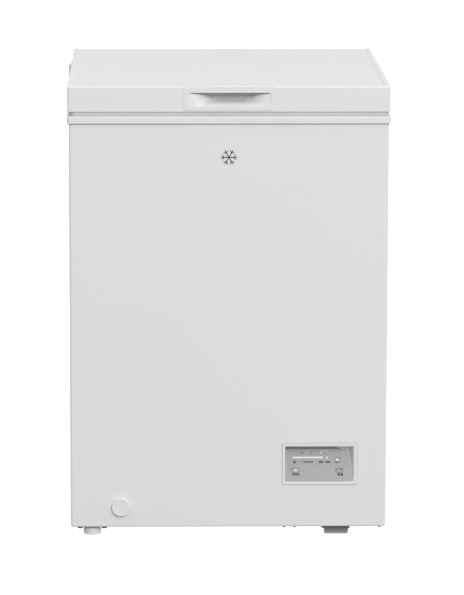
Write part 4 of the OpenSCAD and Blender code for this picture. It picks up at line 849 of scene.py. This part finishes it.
def basket():
    """Welded wire basket: heavy rim, mid hoop, bent wires both ways and four hooks."""
    lo, hi = BASKET
    x0, x1 = lo[0] + 2.5, hi[0] - 2.5
    y0, y1 = lo[1] + 18.5, hi[1] - 18.5
    hang = hi[2] - 2.5
    rim_r, wire_r, hook_r = 2.4, 1.5, 2.2
    corner, bend, margin, across, along = 14, 12, 20, 15, 7
    low, lay = lo[2] + wire_r, 2.9  # the long wires lie on the cross wires
    inset, hoop_in = 2.2, 0.6
    shape = Shape()
    shape.tube(flat(rrect(x0, x1, y0, y1, corner, 6), hang), rim_r, 12, closed=True)
    hoop = rrect(x0 + hoop_in, x1 - hoop_in, y0 + hoop_in, y1 - hoop_in, corner, 6)
    shape.tube(flat(hoop, (hang + low) / 2), wire_r, 10, closed=True)
    for k in range(across):
        y = y0 + margin + k * (y1 - y0 - 2 * margin) / (across - 1)
        a, b = x0 + inset, x1 - inset
        shape.tube(bent([(a, y, hang), (a, y, low), (b, y, low), (b, y, hang)], bend), wire_r)
    for k in range(along):
        x = x0 + margin + k * (x1 - x0 - 2 * margin) / (along - 1)
        a, b, floor = y0 + inset, y1 - inset, low + lay
        shape.tube(bent([(x, a, hang), (x, a, floor), (x, b, floor), (x, b, hang)], bend), wire_r)
    hook_x, hook_w, hook_out, z = 40, 9, 13.5, hang - 0.2
    for x in (x0 + hook_x, x1 - hook_x):
        for y, end in ((y0, y0 - hook_out), (y1, y1 + hook_out)):
            shape.tube(bent([(x - hook_w, y, z), (x - hook_w, end, z), (x + hook_w, end, z),
                             (x + hook_w, y, z)], 5), hook_r, 12)
    shape.build("wire_basket", "basket", SLOT_OF["basket"], "basket", sharp=60)


def springs():
    """Coils of the two hinge springs."""
    wire, turns, steps = 1.1, 9, 16
    n = turns * steps
    for name in ("hinge_spring_left", "hinge_spring_right"):
        lo, hi = mm(name)
        x, y = (lo[0] + hi[0]) / 2, (lo[1] + hi[1]) / 2
        mean = (hi[0] - lo[0]) / 2 - wire
        z0, z1 = lo[2] + wire, hi[2] - wire
        path = [(x + mean * cos(2 * pi * turns * i / n), y + mean * sin(2 * pi * turns * i / n),
                 z0 + (z1 - z0) * i / n) for i in range(n + 1)]
        coil = Shape().tube(path, wire * 0.96, 10)
        coil.build(name + "_coil", BODY_OF[name], SLOT_OF[name], name, sharp=60)


def screw_heads():
    """Pan heads with a cross recess on the grille, the hinge channels and the lid's hinge arms."""
    def heads(name, body, replaced, places):
        """places: x, face, z, radius and height of each head."""
        edge, shank, shank_l = 0.8, 0.4, 1.8
        shape = Shape()
        for x, y, z, r, h in places:
            profile = [(0, y + h)]
            profile += [(r - edge + edge * sin(t), y + h - edge + edge * cos(t))
                        for t in (0.2, 0.7, 1.2, 1.57)]
            profile += [(r, y), (r * shank, y), (r * shank, y - shank_l), (0, y - shank_l)]
            shape.lathe(profile, (x, 0, z), "y", 32)
        recess = Shape()
        for x, y, z, r, h in places:
            w, reach = r * 0.14, r * 0.62
            cross = [(w, w), (w, reach), (-w, reach), (-w, w), (-reach, w), (-reach, -w), (-w, -w),
                     (-w, -reach), (w, -reach), (w, -w), (reach, -w), (reach, w)]
            recess.prism(cross, y + h - 0.9, y + h + 1, lambda a, b, d: (x + a, d, z + b))
        shape.build(name, body, "zinc", replaced, sharp=40, cutters=(recess,))

    gx = (GRILLE[0][0] + 3, GRILLE[1][0] - 3)
    gz = (GRILLE[0][2] + 12, GRILLE[1][2] - 12)
    back = SHELL[1][1]
    hinge = (mm("hinge_base_left"), mm("hinge_base_right"))
    places = [(x, back + 3.1, z, 2.9, 1.9) for x in gx for z in gz]
    for lo, hi in hinge:
        xc = (lo[0] + hi[0]) / 2
        places += [(xc, back + 2.1, lo[2] + dz, 5, 2.1) for dz in (20, 85)]
    heads("rear_screw_heads", "cabinet", "rear_screws", places)
    places = []
    for lo, hi in hinge:
        xc = (lo[0] + hi[0]) / 2
        places += [(xc + dx, LID_BACK + 2.2, LID_Z0 + dz, 4.5, 2.0) for dx in (-24, 24) for dz in (12, 30)]
    heads("arm_screw_heads", "lid", "hinge_arm_screws", places)


def cord_inlet():
    """Bush in the grille that the mains lead goes through, with ribs on its sleeve."""
    lo, hi = mm("cord_inlet")
    x, z = (lo[0] + hi[0]) / 2, (lo[2] + hi[2]) / 2
    y0, y1 = lo[1], hi[1]
    profile = [(3.8, y0), (7.6, y0), (8.0, y0 + 0.5), (8.0, y0 + 4.6), (11.4, y0 + 5.1), (12.0, y0 + 5.7),
               (12.0, y0 + 7.3), (11.4, y0 + 8.0), (8.4, y0 + 8.1), (7.9, y0 + 8.8)]
    for y in (y0, y0 + 2):
        profile += [(7.9, y + 9.6), (7.2, y + 10.0), (7.2, y + 10.6), (7.9, y + 11.0)]
    profile += [(7.4, y1), (4.4, y1), (3.8, y1 - 0.6), (3.8, y0)]
    bush = Shape().lathe(profile, (x, 0, z), "y", 48)
    bush.f = [f for f in bush.f if len(f) == 4]  # without the lathe's end discs, so it stays open
    bush.build("cord_inlet_bush", "cabinet", SLOT_OF["cord_inlet"], "cord_inlet", sharp=45)


def carried_over():
    """CAD parts whose shape is kept: rounded copies where they can be seen, the rest with a finish."""
    for name, bevel in {
        "back_panel": 0.3, "base_pan": 0.3, "compartment_wall": 0.3, "compressor_base": 0.6,
        "compressor": 1.2, "compressor_grommets": 1.0, "compressor_bolts": 0.5, "terminal_cover": 1.2,
        "start_relay": 1.0, "drain_tube": 0.4, "rear_grille": 0.6, "hinge_base_left": 0.45,
        "hinge_base_right": 0.45, "hinge_pins": 0.6, "hinge_cover_left": 1.6, "hinge_cover_right": 1.6,
        "foot_brackets": 0.6, "base_screws": 0.8, "snowflake_emblem": 0.12, "hinge_arm_left": 0.5,
        "hinge_arm_right": 0.5, "hinge_plunger_left": 0.9, "hinge_plunger_right": 0.9,
        "control_board": 0.2,
    }.items():
        refined(name, bevel, 3 if bevel > 1 else 2)
    for name in ("insulation_foam", "lid_foam", "suction_tube", "discharge_tube", "process_tube",
                 "filter_drier", "capillary_tube", "condenser_coil", "evaporator_coil", "temperature_probe",
                 "wiring_loom"):
        mesh = NODES[name].data
        mesh.materials.clear()
        mesh.materials.append(MATS[SLOT_OF[name]])
        for polygon in mesh.polygons:
            polygon.use_smooth = True
        mesh.set_sharp_from_angle(angle=math.radians(CAD_SHARP_DEG))


# ---------- studio ----------

FLOOR_HALF, FLOOR_GREY, FLOOR_GLOW = 40, 0.42, 0.90
SKY_SLOPE, SKY_LEVEL, SKY_LEAST = (0.15, 0.0, 0.62), 0.50, 0.23
KEY_AT, KEY_SIZE, KEY_POWER, KEY_AIM = (1.72, -6.45, 3.42), 1.8, 184, (0, 0, 0.45)
CAMERA_X, CAMERA_BEFORE_LID, CAMERA_Z = -0.1474, 7.1223, 1.6486
PITCH, YAW, ROLL = 0.17478, 0.01719, 0.00124
SENSOR, LENS, SHIFT = 36, 231.906555, (0.02783193, 0.06206723)


def floor_and_sky():
    """Pale floor that glows evenly, under a soft sky."""
    scene = bpy.context.scene
    s = FLOOR_HALF
    mesh = bpy.data.meshes.new("floor")
    mesh.from_pydata([(-s, -s, 0), (s, -s, 0), (s, s, 0), (-s, s, 0)], [], [(0, 1, 2, 3)])
    floor = linked("floor", mesh)
    pale = bpy.data.materials.new("pale_floor")
    pale.use_nodes = True
    bsdf = pale.node_tree.nodes["Principled BSDF"]
    bsdf.inputs["Base Color"].default_value = (FLOOR_GREY, FLOOR_GREY, FLOOR_GREY, 1)
    bsdf.inputs["Roughness"].default_value = 0.9
    bsdf.inputs["Specular IOR Level"].default_value = 0.1
    bsdf.inputs["Emission Color"].default_value = (1, 1, 1, 1)
    bsdf.inputs["Emission Strength"].default_value = FLOOR_GLOW
    mesh.materials.append(pale)
    floor.visible_diffuse = False

    world = bpy.data.worlds.new("studio")
    world.use_nodes = True
    scene.world = world
    tree = world.node_tree
    # brightness by direction: strongest overhead and to the right, dim at the left and below the horizon
    coords = tree.nodes.new("ShaderNodeTexCoord")
    slope = node(tree, "VectorMath", operation="DOT_PRODUCT")
    slope.inputs[1].default_value = SKY_SLOPE
    level = tree.nodes.new("ShaderNodeMath")
    level.inputs[1].default_value = SKY_LEVEL
    least = node(tree, "Math", operation="MAXIMUM")
    least.inputs[1].default_value = SKY_LEAST
    tree.links.new(coords.outputs["Generated"], slope.inputs[0])
    tree.links.new(slope.outputs["Value"], level.inputs[0])
    tree.links.new(level.outputs["Value"], least.inputs[0])
    tree.links.new(least.outputs["Value"], tree.nodes["Background"].inputs["Color"])
    tree.nodes["Background"].inputs["Strength"].default_value = 1.0


def key_lamp():
    """One soft lamp, low in front and to the right."""
    data = bpy.data.lights.new("key", "AREA")
    data.shape = "DISK"
    data.size = KEY_SIZE
    data.energy = KEY_POWER
    light = linked("key", data)
    light.location = KEY_AT
    light.rotation_euler = (Vector(KEY_AIM) - Vector(KEY_AT)).to_track_quat("-Z", "Y").to_euler()


def front_camera():
    """Long lens in front, a little left of the middle and above the lid, looking slightly down."""
    data = bpy.data.cameras.new("camera")
    camera = linked("camera", data)
    forward = Vector((sin(YAW) * cos(PITCH), cos(YAW) * cos(PITCH), -sin(PITCH)))
    right = Vector((cos(YAW), -sin(YAW), 0))
    up = right.cross(forward)
    right, up = right * cos(ROLL) + up * sin(ROLL), up * cos(ROLL) - right * sin(ROLL)
    turn = Matrix((right, up, -forward)).transposed().to_4x4()
    place = (CAMERA_X, LID_FRONT / 1000 - CAMERA_BEFORE_LID, CAMERA_Z)
    camera.matrix_world = Matrix.Translation(place) @ turn
    data.sensor_width, data.lens = SENSOR, LENS
    data.shift_x, data.shift_y = SHIFT
    data.clip_end = 200
    bpy.context.scene.camera = camera


outer_shell()
top_frame()
control_panel()
drain_parts()
feet()
inner_liner()
lid()
basket()
springs()
screw_heads()
cord_inlet()
carried_over()
bpy.context.scene.view_settings.view_transform = "Standard"
floor_and_sky()
key_lamp()
front_camera()
